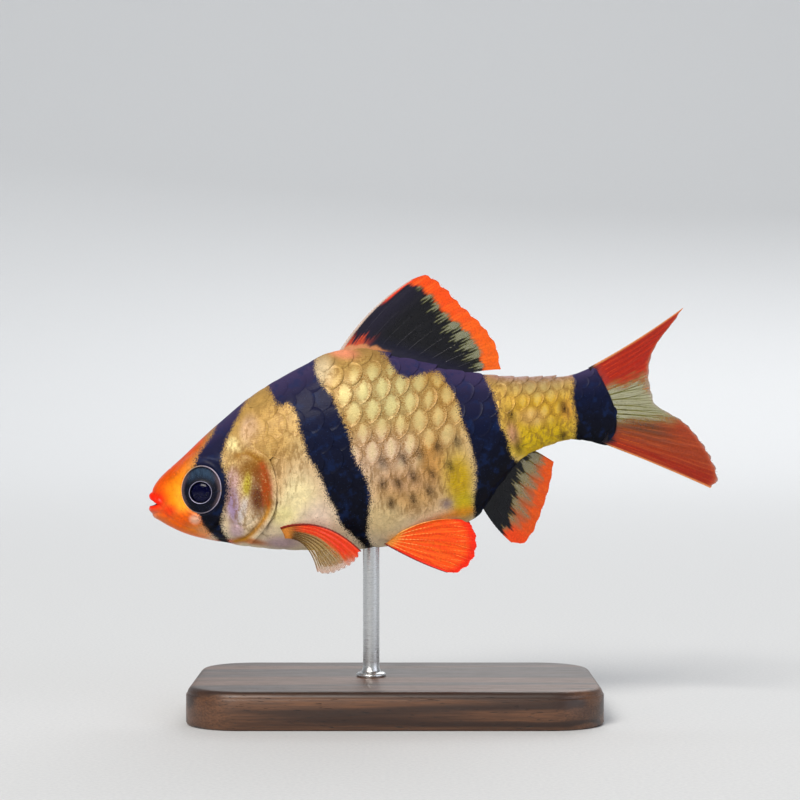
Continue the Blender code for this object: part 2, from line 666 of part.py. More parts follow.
def main():
    for obj in list(bpy.data.objects):
        bpy.data.objects.remove(obj)
    head, jaw, trunk, stem = make_body_nodes()
    finish(head, (0.85, 0.35, 0.12), 0.4)
    finish(jaw, (0.88, 0.14, 0.05), 0.4)
    finish(trunk, (0.78, 0.66, 0.42), 0.35)
    finish(stem, (0.80, 0.66, 0.25), 0.35)
    for side, label in ((-1, "left"), (1, "right")):
        cover = side_plate("gill_cover_" + label, side, 0.0, COVER_PROUD, -COVER_THICK)
        finish(cover, (0.75, 0.5, 0.25), 0.3)
        finish(eye("eye_" + label, side), (0.03, 0.03, 0.05), 0.1)
    for made in make_fins():
        finish(made, (0.85, 0.2, 0.06), 0.45)
    finish(make_base(), (0.13, 0.075, 0.045), 0.45)
    rod_bottom = BASE_THICK - BELLY_ABOVE_FLOOR - ROD_IN_BASE
    finish(rod("stand_rod", ROD_RADIUS, rod_bottom, ROD_IN_BODY), (0.7, 0.7, 0.72), 0.25, 1.0)


main()
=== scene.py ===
# %% [markdown]
# # A life-size tiger barb on a stand
#
# A museum model of a small fish starts from a solid cast. Over it come scales, fins and glass eyes, and
# last the paint. This script follows that order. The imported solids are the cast: every piece lies where its
# solid lies, so the looks can change and the sizes can't.

# %% Tools and the frame
import functools
import math

import bpy
import numpy as np
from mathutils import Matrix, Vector


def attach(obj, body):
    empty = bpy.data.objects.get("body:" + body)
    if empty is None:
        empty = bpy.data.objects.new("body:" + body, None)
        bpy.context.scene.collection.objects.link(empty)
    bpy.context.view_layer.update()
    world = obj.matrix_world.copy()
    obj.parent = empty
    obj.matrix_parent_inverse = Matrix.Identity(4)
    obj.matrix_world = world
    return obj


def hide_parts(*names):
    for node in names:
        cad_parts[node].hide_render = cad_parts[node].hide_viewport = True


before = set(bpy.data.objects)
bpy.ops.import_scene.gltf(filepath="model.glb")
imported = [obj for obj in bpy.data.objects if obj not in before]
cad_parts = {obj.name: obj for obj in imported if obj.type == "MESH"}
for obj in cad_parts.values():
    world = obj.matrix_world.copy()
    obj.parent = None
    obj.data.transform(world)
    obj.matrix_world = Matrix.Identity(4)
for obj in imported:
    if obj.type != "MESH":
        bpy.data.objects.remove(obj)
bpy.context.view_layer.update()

# %% [markdown]
# ## The chart of the fish
#
# All sizes are in millimetres on a side-view chart: X runs from the lips to the tail, Z is the height above
# the lowest gill membrane, and the fish's left is -Y. The body could be sculpted, but a formula can be
# asked for a point anywhere, so skin, scales and colours all agree. Smooth curves give the back, the belly
# and the half width at each X, and an ellipse with a little keel joins them.

# %% Curves through named stations
MM = 0.001
BASE_CENTRE_X = 27.0
BELLY_ABOVE_FLOOR = 18.0

BACK_LINE = [
    (0.4, 4.95), (0.5, 5.9), (0.7, 6.5), (1.45, 7.6), (3.5, 9.5), (7.9, 13.6), (12.3, 17.2),
    (16.7, 19.8), (20.9, 21.6), (23.3, 21.8), (27.7, 20.9), (34.3, 19.3), (40.9, 18.65),
    (44.9, 18.75), (48.8, 19.8), (51.8, 21.4),
]
BELLY_LINE = [
    (0.4, 4.95), (0.45, 4.2), (0.65, 3.45), (1.45, 2.9), (2.5, 2.3), (4.6, 1.4), (7.9, 0.65),
    (13.4, -0.2), (19, -0.45), (24.4, -0.1), (31, 1.2), (35.8, 3.2), (38.7, 7), (41, 9.7),
    (43.7, 11), (46.2, 11.7), (49.9, 11.05), (51.8, 10.7),
]
HALF_WIDTH = [
    (0.4, 0), (0.5, 0.85), (1, 1.4), (2, 2), (3.5, 2.6), (6.2, 3.3), (9, 3.95),
    (12.5, 4.35), (18, 4.6), (23, 4.55), (28, 4.25), (33.5, 3.6), (39, 2.65),
    (44.5, 1.85), (49, 1.05), (51.8, 0.55),
]
WIDEST_AT = [(0.4, 0.5), (3.5, 0.44), (9, 0.42), (20, 0.46), (40, 0.52), (51.8, 0.5)]
BACK_KEEL = [(0.4, 1), (6, 1.1), (14, 1.3), (30, 1.35), (44, 1.1), (51.8, 1)]
BELLY_KEEL = [(0.4, 1), (9, 0.95), (20, 0.85), (34, 1.15), (44, 1.05), (51.8, 1)]


def eased(stations, root_spaced=False):
    """A smooth function through (position, value) stations that never overshoots them. With
    root_spaced the curve starts square to the axis, as a rounded nose does."""
    at, value = (np.array(column, float) for column in zip(*stations))
    first = at[0]
    if root_spaced:
        at = np.sqrt(at - first)
    step = np.diff(at)
    slope = np.diff(value) / step
    tangent = np.zeros(len(at))
    tangent[0], tangent[-1] = slope[0], slope[-1]
    for i in range(1, len(at) - 1):
        if slope[i - 1] * slope[i] > 0:
            before, after = 2 * step[i] + step[i - 1], step[i] + 2 * step[i - 1]
            tangent[i] = (before + after) / (before / slope[i - 1] + after / slope[i])

    def curve(position):
        p = np.sqrt(np.clip(position - first, 0, None)) if root_spaced else position
        p = np.clip(p, at[0], at[-1])
        i = np.clip(np.searchsorted(at, p, side="right") - 1, 0, len(step) - 1)
        t = (p - at[i]) / step[i]
        return (
            value[i] * (1 + 2 * t) * (1 - t) ** 2
            + tangent[i] * step[i] * t * (1 - t) ** 2
            + value[i + 1] * t * t * (3 - 2 * t)
            + tangent[i + 1] * step[i] * t * t * (t - 1)
        )

    return curve


back_line = eased(BACK_LINE, root_spaced=True)
belly_line = eased(BELLY_LINE, root_spaced=True)
half_width = eased(HALF_WIDTH, root_spaced=True)
widest_at = eased(WIDEST_AT)
back_keel = eased(BACK_KEEL)
belly_keel = eased(BELLY_KEEL)
print("deepest at the nape:", (back_line(23.3) - belly_line(23.3)).round(1), "mm")

# %% [markdown]
# ## Points on the body, and the pose
#
# A place on the body is an X and an angle round it: 0 is the left side and a quarter turn the back. In the
# pose the tail swings away from the viewer. An armature could bend it, but the swing is one smooth curve,
# so a function bends finished chart points and moves them onto the stand.

# %% Body points and the pose
SWING_START = 30.0
SWING_RATE = 0.0037
TWIST_START = 50.0
TWIST_CENTRE_Z = 15.3
TWIST_RATE = 0.012
SLOPE_STEP = 0.02
SPAN_SAMPLES = 24


def widest_height(x):
    return belly_line(x) + widest_at(x) * (back_line(x) - belly_line(x))


def on_body(x, angle):
    x, angle = np.broadcast_arrays(np.asarray(x, float), angle)
    above = np.sin(angle) > 0
    middle = widest_height(x)
    edge = np.where(above, back_line(x), belly_line(x))
    keel = np.where(above, back_keel(x), belly_keel(x))
    across = np.cos(angle)
    y = -half_width(x) * np.sign(across) * np.abs(across) ** keel
    z = middle + np.abs(np.sin(angle)) * (edge - middle)
    return np.stack([x, y, z], -1)


def flank(x, z):
    """Half width of the body at a place in the side view."""
    middle = widest_height(x)
    above = z > middle
    reach = np.where(above, back_line(x) - middle, middle - belly_line(x))
    keel = np.where(above, back_keel(x), belly_keel(x))
    share = np.clip((z - middle) / reach, -1, 1)
    return half_width(x) * np.maximum(1 - share**2, 0) ** (keel / 2)


def unit(v):
    return v / np.maximum(np.linalg.norm(v, axis=-1, keepdims=True), 1e-9)


def out_of_body(x, angle):
    run = on_body(x + SLOPE_STEP, angle) - on_body(x - SLOPE_STEP, angle)
    turn = on_body(x, angle + SLOPE_STEP) - on_body(x, angle - SLOPE_STEP)
    return unit(np.cross(run, turn))


def posed(points):
    """Places in metres of chart points, with the tail's swing and twist."""
    p = np.asarray(points, float)
    x, y, z = p[..., 0], p[..., 1], p[..., 2]
    swing = SWING_RATE * np.maximum(x - SWING_START, 0) ** 2
    twist = TWIST_RATE * np.maximum(x - TWIST_START, 0) * (z - TWIST_CENTRE_Z)
    return MM * np.stack([x - BASE_CENTRE_X, y + swing + twist, z + BELLY_ABOVE_FLOOR], -1)


def through(points, count, closed=False):
    """count points evenly spaced on a smooth curve through the given ones."""
    p = np.array(points, float)
    if closed:
        p = np.vstack([p[-1], p, p[0], p[1]])
    else:
        p = np.vstack([2 * p[0] - p[1], p, 2 * p[-1] - p[-2]])
    t = np.linspace(0, 1, SPAN_SAMPLES, endpoint=False)[:, None]
    pieces = []
    for a, b, c, d in zip(p, p[1:], p[2:], p[3:]):
        bend = (2 * a - 5 * b + 4 * c - d) * t**2 + (3 * b - a - 3 * c + d) * t**3
        pieces.append(0.5 * (2 * b + (c - a) * t + bend))
    fine = np.vstack([*pieces, p[-2]])
    length = np.concatenate([[0], np.cumsum(np.linalg.norm(np.diff(fine, axis=0), axis=1))])
    wanted = np.linspace(0, length[-1], count, endpoint=not closed)
    return np.column_stack([np.interp(wanted, length, fine[:, k]) for k in range(p.shape[1])])


print("the left side faces", out_of_body(np.array([20]), 0)[0].round(2))

# %% [markdown]
# ## Two small helpers for shapes
#
# `ramp` climbs smoothly from 0 to 1, and `near` is a soft hump that is 1 on a line and fades beside it.
# Nearly every fold, groove and patch of colour is one of these two, measured from a point or a drawn line.

# %% Ramps, humps and distances


def ramp(value, low, high):
    t = np.clip((value - low) / (high - low), 0, 1)
    return t * t * (3 - 2 * t)


def near(distance, width):
    return np.exp(-((distance / width) ** 2))


def oval(x, z, centre, reach, tilt=0):
    """Distance from a centre in units of an oval's half sizes. A tilt in degrees leans it tailwards."""
    turn = math.radians(tilt)
    dx, dz = x - centre[0], z - centre[1]
    along = dx * math.cos(turn) - dz * math.sin(turn)
    up = dx * math.sin(turn) + dz * math.cos(turn)
    return np.hypot(along / reach[0], up / reach[1])


def to_stretch(x, z, a, b):
    """Distance to the stretch from a to b, and the nearest point's share of it."""
    run = b - a
    t = np.clip(((x - a[0]) * run[0] + (z - a[1]) * run[1]) / (run @ run), 0, 1)
    return np.hypot(x - a[0] - t * run[0], z - a[1] - t * run[1]), t


def beside_line(x, z, line, count=28):
    """Distance from a drawn line, and the share of its length there."""
    path = through(line, count)
    best = np.full(x.shape, np.inf)
    share = np.zeros(x.shape)
    for i, (a, b) in enumerate(zip(path, path[1:])):
        distance, t = to_stretch(x, z, a, b)
        share = np.where(distance < best, (i + t) / (count - 1), share)
        best = np.minimum(distance, best)
    return best, share


def depth_inside(x, z, outline, count=64):
    """Depth in mm inside a closed outline; negative outside."""
    path = through(outline, count, closed=True)
    best = np.full(x.shape, np.inf)
    inside = np.zeros(x.shape, bool)
    for a, b in zip(path, np.roll(path, -1, axis=0)):
        best = np.minimum(best, to_stretch(x, z, a, b)[0])
        if a[1] != b[1]:
            crossing = a[0] + (z - a[1]) * (b[0] - a[0]) / (b[1] - a[1])
            inside ^= ((a[1] > z) != (b[1] > z)) & (x < crossing)
    return np.where(inside, best, -best)


print("a hump is", near(0.5, 1).round(2), "high at half its width")

# %% [markdown]
# ## The camera
#
# The photograph looks square at the fish's left side from about a hand's breadth away. A long lens keeps
# the near and far flank in proportion. The square frame shows 87 mm at the fish's middle plane.

# %% Camera
LENS = 100.0
SENSOR = 36.0
FRAME_WIDTH = 87.04
FRAME_CENTRE = (0.53, 34.05)


def new_object(name, data):
    made = bpy.data.objects.new(name, data)
    bpy.context.scene.collection.objects.link(made)
    return made


def make_camera():
    data = bpy.data.cameras.new("camera")
    data.lens = LENS
    data.sensor_width = SENSOR
    camera = new_object("camera", data)
    distance = FRAME_WIDTH * LENS / SENSOR
    camera.location = (MM * FRAME_CENTRE[0], -MM * distance, MM * FRAME_CENTRE[1])
    camera.rotation_euler = (math.radians(90), 0, 0)
    bpy.context.scene.camera = camera
    return distance


print("the camera stands", round(make_camera()), "mm away")

# %% [markdown]
# ## The markings, as a painter would plan them
#
# A tiger barb is gold with four blue-black bars. A picture would blur up close, so the bars are outlines:
# every vertex stores how deep inside one it lies, and the shader cuts that depth with noise into crisp,
# speckled edges. Skin and scales both ask these functions, so their markings match.

# %% The dark bars
BARS = {
    "eye bar": [
        (7.85, 14.1), (7.2, 12.55), (6.2, 11.15), (5.55, 9.95), (5.2, 8.65), (5, 6.25), (5.35, 4.6),
        (5.75, 3.65), (6.3, 2.45), (7.05, 1.35), (7.7, 0.9), (8.15, -0.4), (9.5, -0.4), (9.15, 1.05),
        (8.7, 1.8), (8.5, 3), (8.9, 4.4), (9.25, 6.05), (9.15, 7.8), (8.6, 9.1), (8.7, 10.6),
        (9.15, 12), (9.8, 13.35), (10.45, 14.85), (10.9, 15.85), (11.85, 17.35),
    ],
    "shoulder bar": [
        (12.5, 18.45), (13.15, 17.35), (13.8, 16.15), (14.45, 15.05), (15.35, 15.6), (15.9, 15.3),
        (16.45, 13.85), (16.85, 12.15), (17.5, 10.05), (18.4, 8.75), (19.15, 6.9), (19.6, 5.6),
        (20.45, 4.1), (21.2, 2.45), (22.4, 1.35), (23.5, 0.15), (24.05, -0.9), (25.15, -0.9),
        (24.7, 0.15), (24.25, 1.35), (24.25, 2.65), (24.5, 4.5), (24.6, 6.05), (24.05, 7.65),
        (23.3, 9), (22.65, 10.7), (22.2, 12.35), (21.65, 13.85), (21, 15.2), (20.25, 16.6),
        (19.15, 17.9), (18.4, 19.55), (18.15, 21.25), (14.5, 20.6),
    ],
    "patch under the dorsal fin": [
        (24.05, 22.8), (24.5, 21.9), (25.8, 20.85), (26.85, 19.2), (27.85, 18.35), (29.4, 18.45),
        (30.8, 18.9), (32.4, 19.1), (35.15, 20.4), (31.9, 22.6),
    ],
    "middle bar": [
        (31.25, 19.75), (31.9, 18.55), (32.4, 17.7), (33.4, 16.15), (33.95, 13.85), (34.8, 11.7),
        (35.35, 9.4), (35.45, 7.25), (35.35, 4.95), (35.45, 3), (35.6, 1), (38.4, 3), (40.8, 8.45),
        (39.7, 10.05), (39.3, 11.7), (38.5, 13.45), (38.2, 15.6), (37.45, 17.45), (36.9, 18.55),
        (36.65, 20.2), (34, 20.6),
    ],
    "tail bar": [
        (45.8, 20.4), (46.15, 18.75), (46.25, 17.05), (46.15, 15.6), (46.55, 13.85), (46.45, 12.35),
        (46.55, 10.4), (50.7, 10), (51.3, 11.7), (51.8, 12.8), (51.8, 14.3), (51.5, 15.95),
        (51, 17.45), (50.3, 18.35), (49.9, 20.6),
    ],
}
SMUDGES = [
    (25.7, 9.3), (27.85, 9.7), (29.7, 10.1), (31.6, 10.95), (32.9, 9), (30.7, 6.3), (28.9, 5.4),
    (25.7, 7), (27.3, 7.1), (28.9, 7.9), (31, 8.1), (33.7, 11.5), (45.3, 15.2), (45.2, 12.1),
    (40.3, 10.9), (39.5, 14.4), (26.6, 5),
]
SMUDGE_REACH = (0.42, 0.72)


def bar_depth(x, z):
    """Depth in mm inside the nearest bar; negative outside."""
    return np.max([depth_inside(x, z, outline) for outline in BARS.values()], axis=0)


def smudge(x, z):
    return np.max([near(oval(x, z, c, SMUDGE_REACH, -15), 1) for c in SMUDGES], axis=0)


print(len(BARS), "bars and", len(SMUDGES), "smudges")

# %% [markdown]
# ### Soft colour, sprayed in passes
#
# Under the bars the real skin goes from cream on the belly to brass on the back, with soft patches of
# yellow, rust, pink and violet. As a painter sprays thin passes, this cell lays a ground by height, then
# ovals, then strokes along drawn lines. Two ovals on the gill cover are painted highlights, and two more
# make the throat and the skin behind the gill cover paler, as painted light against their shade. One
# function turns the sRGB hex values to the linear numbers that a shader needs.

# %% The sprayed colours


def linear(code):
    """Linear RGB of an sRGB hex colour."""
    parts = np.array([int(code[i : i + 2], 16) / 255 for i in (1, 3, 5)])
    return np.where(parts <= 0.04045, parts / 12.92, ((parts + 0.055) / 1.055) ** 2.4)


HEIGHT_COLOURS = [(0, "#ecdcba"), (0.3, "#dcc09c"), (0.6, "#cfae74"), (0.9, "#b9934e"), (1, "#a37e48")]
# Each pass: the place, the oval's half sizes, its lean in degrees, the colour and the strength
SPRAYED = [
    ((13, 14.5), (3.6, 4.2), 10, "#b6904e", 0.85),
    ((11.3, 13), (1.2, 1.8), 10, "#c2a09c", 0.35),
    ((13.8, 10.6), (2.6, 2.6), 0, "#bf9650", 0.8),
    ((16.4, 5.6), (2.6, 2.9), 15, "#f3e2ac", 0.95),
    ((14.9, 3.6), (1.7, 1.4), 0, "#f5ea9c", 0.6),
    ((18.6, 3), (2.2, 2.6), 15, "#ead2c0", 0.7),
    ((14.8, 0.7), (2.4, 0.9), 0, "#b898ac", 0.75),
    ((19, 19), (1.5, 2.2), 10, "#e9d9b6", 0.6),
    ((21.4, 21.2), (2, 0.8), 10, "#ea8f6c", 0.9),
    ((25.5, 16.6), (5.4, 3.6), 0, "#c0b47c", 0.95),
    ((25.6, 10), (5, 3.2), 0, "#dcbba2", 0.8),
    ((28.6, 6), (5, 3.2), 0, "#cb9c5c", 0.85),
    ((28, 7.4), (3.2, 1.6), 0, "#cda182", 0.5),
    ((25.5, 3.2), (3.2, 2.3), 0, "#d6bd88", 0.85),
    ((31, 9.6), (1.9, 3), -8, "#cf9448", 0.85),
    ((33.9, 7.4), (2.2, 4.1), -6, "#c3a014", 1),
    ((34.5, 4.6), (1.5, 1.9), 0, "#cdb40e", 0.95),
    ((32.6, 4.9), (0.8, 0.75), 0, "#77697a", 0.8),
    ((43, 14), (6.8, 6.4), 0, "#d6a92a", 1),
    ((43, 11.2), (5.4, 3.2), 0, "#dfbc08", 0.95),
    ((41.8, 14.2), (1.9, 1.1), 0, "#e2b27a", 0.55),
    ((42.4, 17.7), (4.6, 1.5), 0, "#ab9766", 0.75),
    ((39.7, 12.4), (0.8, 1.5), -12, "#b98272", 0.8),
    ((45.6, 15), (0.8, 1.3), 0, "#d8963a", 0.7),
    ((3.4, 6.2), (3.6, 4.3), 0, "#fb9410", 1),
    ((4.4, 2.6), (3.2, 2.2), -14, "#f26a06", 1),
    ((4, 5.4), (0.8, 2), -12, "#ffb02a", 0.75),
    ((3.6, 3), (1.8, 1), -32, "#fa5e02", 0.9),
    # Orange of the throat, made paler than the real skin as painted light against the shade under the head
    ((5.6, 1.75), (2.3, 1), -14, "#ff9638", 0.95),
    ((6.3, 1.9), (0.9, 0.7), -30, "#f8b078", 0.7),
    ((5.5, 3.2), (0.7, 0.6), 0, "#ffc8a8", 0.85),
    ((8.4, 0.6), (2.2, 0.5), -5, "#e8532a", 0.85),
    ((0.9, 5.2), (2, 2), 0, "#f01202", 1),
    ((2.4, 3.9), (1.3, 0.9), -35, "#f02404", 0.9),
    ((9.6, 5), (0.9, 3), -6, "#a18ab4", 0.95),
    ((9.7, 7.7), (0.8, 1.4), 0, "#c9a4a8", 0.8),
    ((10, 2), (1, 1.1), 0, "#c9aab8", 0.8),
    ((11.6, 8.8), (1.9, 1.3), -20, "#8a5a1c", 0.95),
    # Golden cream behind the gill cover, made paler as painted light against the gill cover's shadow
    ((14.7, 8), (0.9, 2.8), 0, "#e6c08a", 0.8),
    ((9.55, 11.3), (0.75, 0.9), 0, "#f4e2a0", 0.85),
    ((10.3, 10.5), (0.9, 0.5), 30, "#f0dc9a", 0.7),
    # A painted highlight: a gold-green glint on the gill cover
    ((11.2, 6.9), (0.6, 1.5), 5, "#c9b636", 0.95),
    ((12.4, 5.6), (1.2, 2.3), -5, "#582620", 1),
    ((12.5, 7.9), (0.85, 1.4), -12, "#7a3404", 0.9),
    ((13.2, 6.4), (0.6, 2.2), -6, "#a8390a", 1),
    # Silvery guanine down the front of the gill cover, drawn white as a painted highlight
    ((10.7, 4.2), (0.5, 1.7), 14, "#d6d6de", 0.6),
    ((11.6, 0.8), (1.9, 0.45), 10, "#c9681a", 0.85),
]
# Each stroke: its line, its half width in mm, its colour and its strength. They are the gill's membrane,
# the top of the snout, the chin, the top and side of the gill arch, and the belly at the pelvic fins
STROKES = [
    ([(13.65, 5.2), (13.3, 3.9), (12.35, 2.5), (11.1, 1.3), (9.7, 0.75)], 0.34, "#c48312", 0.95),
    ([(1.4, 6.9), (3, 8.6), (4.9, 10.7), (5.6, 11.8)], 1, "#dc4a06", 0.95),
    ([(1.6, 3.3), (3.2, 2), (5, 1.1), (6.6, 0.4)], 0.9, "#f06a0c", 0.85),
    ([(10.1, 10.1), (11.3, 10.3), (12.5, 9.6)], 0.5, "#9a6814", 0.9),
    ([(12.8, 9.1), (13.35, 7.8), (13.55, 6.2), (13.3, 4.9)], 0.45, "#a83c0a", 1),
    ([(26.8, 0.9), (30, 2.1), (33, 3.6), (35.2, 4.1)], 0.55, "#f2a22c", 0.85),
]
INK_COLOURS = [(0, "#03040b"), (0.35, "#04071a"), (0.62, "#060e2c"), (0.85, "#1c1b3a"), (1, "#40365a")]
SNOUT_RIM_END = 9.0
LEAST_HEIGHT = 0.5
# Where the scale edges are pencilled in brown: the strength, and the patch's centre and half sizes
UPPER_NET = (0.95, (26.5, 15), (8.5, 5.8))
NET_PATCHES = {
    "nape": (0.42, (15, 12), (3.6, 6)),
    "gill cover": (0.9, (11.4, 7), (2.6, 4.2)),
    "lower flank": (0.5, (28, 7.5), (6, 4)),
    "tail stem": (0.8, (42.5, 15.5), (5, 4)),
}


def by_height(stations, x, z):
    """Linear colours that change with the share of the body's height."""
    share = (z - belly_line(x)) / np.maximum(back_line(x) - belly_line(x), LEAST_HEIGHT)
    heights, codes = zip(*stations)
    tones = np.array([linear(code) for code in codes])
    return np.column_stack([np.interp(share, heights, tones[:, k]) for k in range(3)])


def sprayed(x, z):
    colour = by_height(HEIGHT_COLOURS, x, z)
    under_back = back_line(x) - z
    masks = [(s * ramp(1.25 - oval(x, z, *place), 0, 0.95), code) for *place, code, s in SPRAYED]
    masks += [(s * near(beside_line(x, z, line)[0], width), code) for line, width, code, s in STROKES]
    snout_rim = 0.3 * near(under_back, 0.25) * ramp(SNOUT_RIM_END - x, 0, 1.5) * ramp(x, 0.6, 2)
    tail_rim = 0.8 * near(under_back, 0.7) * ramp(x, 36, 38.5)
    masks += [(snout_rim, "#b4627c"), (tail_rim, "#9c7c86")]
    for mask, code in masks:
        colour = colour + (linear(code) - colour) * np.clip(mask, 0, 1)[:, None]
    return colour


def net_strength(x, z):
    """How strongly the scale edges are pencilled in brown: most on the upper flank."""
    strength, *patch = UPPER_NET
    total = strength * ramp(1.25 - oval(x, z, *patch), 0, 0.6)
    for strength, *patch in NET_PATCHES.values():
        total = total + strength * near(oval(x, z, *patch), 1)
    return np.clip(total, 0, 1)


def paint(x, z):
    """All the body's markings at places in the side view, by name."""
    return {
        "tint": sprayed(x, z),
        "ink": by_height(INK_COLOURS, x, z),
        "bar": bar_depth(x, z),
        "smudge": smudge(x, z),
        "net": net_strength(x, z),
    }


print(len(SPRAYED), "sprayed passes and", len(STROKES), "strokes")

# %% [markdown]
# ## From arrays to a mesh object
#
# Every piece ends as points, faces and a few values stored on its points. One function makes the object,
# turns its faces outwards by the sign of its volume, gives it its finish and its ride, and hides the solids
# that it stands for.

# %% One function for every piece


def signed_volume(points, faces):
    total = 0.0
    for corner in range(1, faces.shape[1] - 1):
        a, b, c = (points[faces[:, k]] for k in (0, corner, corner + 1))
        total += np.einsum("ij,ij->i", a, np.cross(b, c)).sum()
    return total / 6


# How a shader reads what is stored, where it isn't a plain number
STORED_AS = {"tint": "Color", "ink": "Color", "pigment": "Color", "lie": "Vector"}


def store(mesh, name, values):
    values = np.asarray(values, np.float32)
    if values.ndim == 1:
        mesh.attributes.new(name, "FLOAT", "POINT").data.foreach_set("value", values)
    elif STORED_AS.get(name) == "Color":
        full = np.column_stack([values, np.ones(len(values), np.float32)])
        mesh.attributes.new(name, "FLOAT_COLOR", "POINT").data.foreach_set("color", full.ravel())
    else:
        full = np.zeros((len(values), 3), np.float32)
        full[:, : values.shape[1]] = values
        mesh.attributes.new(name, "FLOAT_VECTOR", "POINT").data.foreach_set("vector", full.ravel())


def make_piece(name, points, faces, finish_of, stands_for, marks=None, corner_uv=None):
    """An object from points in metres, with its finish and ride, hiding the solids that it stands for."""
    points = np.asarray(points, float)
    faces = [np.asarray(f, int) for f in (faces if isinstance(faces, list) else [faces])]
    flip = sum(signed_volume(points, f) for f in faces) < 0
    faces = [f[:, ::-1] if flip else f for f in faces]
    mesh = bpy.data.meshes.new(name)
    mesh.from_pydata(points.tolist(), [], [row for f in faces for row in f.tolist()])
    mesh.shade_smooth()
    for key, values in (marks or {}).items():
        store(mesh, key, values)
    if corner_uv is not None:
        corner_uv = [uv[:, ::-1] if flip else uv for uv in corner_uv]
        layer = mesh.uv_layers.new(name="OFBake")
        layer.data.foreach_set("uv", np.concatenate([uv.reshape(-1) for uv in corner_uv]).astype(np.float32))
    mesh.materials.append(finish_of)
    obj = new_object(name, mesh)
    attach(obj, "root")
    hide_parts(*stands_for)
    print(f"{name}: {len(points)} points")
    return obj


def grid_faces(rows, columns, wrap=False):
    """Quads of a grid of points, row by row; wrap joins the last column to the first."""
    i = np.arange(rows - 1)[:, None]
    j = np.arange(columns if wrap else columns - 1)[None, :]
    k = (j + 1) % columns
    corners = [i * columns + j, i * columns + k, (i + 1) * columns + k, (i + 1) * columns + j]
    return np.stack(corners, -1).reshape(-1, 4)


print("a 3 by 4 grid has", len(grid_faces(3, 4)), "quads")

# %% [markdown]
# ## One helper for every node
#
# A finish is a small tree of nodes, and so is a Geometry Nodes group. One function adds a node with its
# settings and links and hands back one of its outputs. The other helpers put several nodes together as a
# painter thinks of them: what a finish starts from, the mask that a coat is sprayed through, and the coats.
# Patterns use Object coordinates in millimetres, so a noise whose scale is 1 / 0.3 has features of about
# 0.3 mm.

# %% Adding a node, masks and coats
SMOOTH = {"interpolation_type": "SMOOTHSTEP"}
TIMES = {"operation": "MULTIPLY"}
PLUS = {"operation": "ADD"}


def add(tree, kind, inputs=(), out=0, **settings):
    """Adds a node and returns one of its outputs, or the node where out is None. Inputs are a list in
    the sockets' order, or a dict by name or number; a hex colour is turned to linear."""
    node = tree.nodes.new(kind if "Node" in kind else "ShaderNode" + kind)
    for key, value in settings.items():
        setattr(node, key, value)
    for key, value in inputs.items() if isinstance(inputs, dict) else enumerate(inputs):
        if isinstance(value, bpy.types.NodeSocket):
            tree.links.new(value, node.inputs[key])
        elif isinstance(value, str) and value.startswith("#"):
            node.inputs[key].default_value = (*linear(value), 1)
        else:
            node.inputs[key].default_value = value
    return node if out is None else node.outputs[out]


def new_finish(name):
    """An empty material, `put`, which is `add` for its tree, and the place in millimetres."""
    material = bpy.data.materials.new(name)
    material.use_nodes = True
    material.node_tree.nodes.clear()
    put = functools.partial(add, material.node_tree)
    return material, put, put("Mapping", {"Vector": put("TexCoord", out="Object"), "Scale": [1 / MM] * 3})


def sources(put, where, stored=(), noises=None, cells=None):
    """What a finish starts from, by name: values stored on the mesh, noises from their (size in mm,
    detail, roughness), and cells from their spacing. A size of three numbers stretches a noise."""
    made = {}
    for name in stored:
        made[name] = put("Attribute", out=STORED_AS.get(name, "Fac"), attribute_name=name)
    for name, (size, detail, roughness) in (noises or {}).items():
        inputs = {"Vector": where, "Detail": detail, "Roughness": roughness}
        if isinstance(size, tuple):
            inputs["Vector"] = put("Mapping", {"Vector": where, "Scale": [1 / mm for mm in size]})
            size = 1.0
        made[name] = put("TexNoise", {**inputs, "Scale": 1 / size})
    for name, size in (cells or {}).items():
        made[name] = put("TexVoronoi", {"Vector": where, "Scale": 1 / size})
    return made


def mask(put, parts):
    """The product of its parts. A part is a value, or the (value, from, to, low, high) of a ramp."""
    product = None
    for part in parts:
        part = put("MapRange", part, **SMOOTH) if isinstance(part, tuple) else part
        product = part if product is None else put("Math", [product, part], **TIMES)
    return product


def coated(put, ground, coats):
    """A ground under coats of (colour, mask), the mask made or given as the list of its parts."""
    for colour, through_mask in coats:
        factor = mask(put, through_mask) if isinstance(through_mask, list) else through_mask
        ground = put("Mix", {0: factor, 6: ground, 7: colour}, out=2, data_type="RGBA")
    return ground


def close_finish(put, inputs):
    """Ends a finish with its shader, whose constants are set on its own sockets."""
    put("OutputMaterial", [put("BsdfPrincipled", inputs)], out=None)


print("every ramp is a", SMOOTH["interpolation_type"])

# %% [markdown]
# ## The living skin
#
# A fish's skin is wet and clear, over crystals of guanine that mirror softly and over brown and black
# pigment cells. A flat colour with gloss would look like plastic, so the finish has the order of the real
# layers: a pale, softly mottled ground, single brown freckles, a fine grit, and short upright streaks where
# the net of the scale edges fades out.

# %% The skin's patterns and its ground
SKIN_NOISE = {
    "coarse": (1.1, 4, 0.55),
    "grain": (0.31, 4, 0.65),
    "fine": (0.11, 3, 0.6),
    "grit": (0.08, 2, 0.55),
    "streaks": ((0.38, 0.38, 1.2), 4, 0.6),
}
# Real pigment cells are 0.02 to 0.1 mm across and wouldn't show, so these are drawn about three
# times as coarse
SKIN_CELLS = {"cells": 0.29, "small_cells": 0.15}


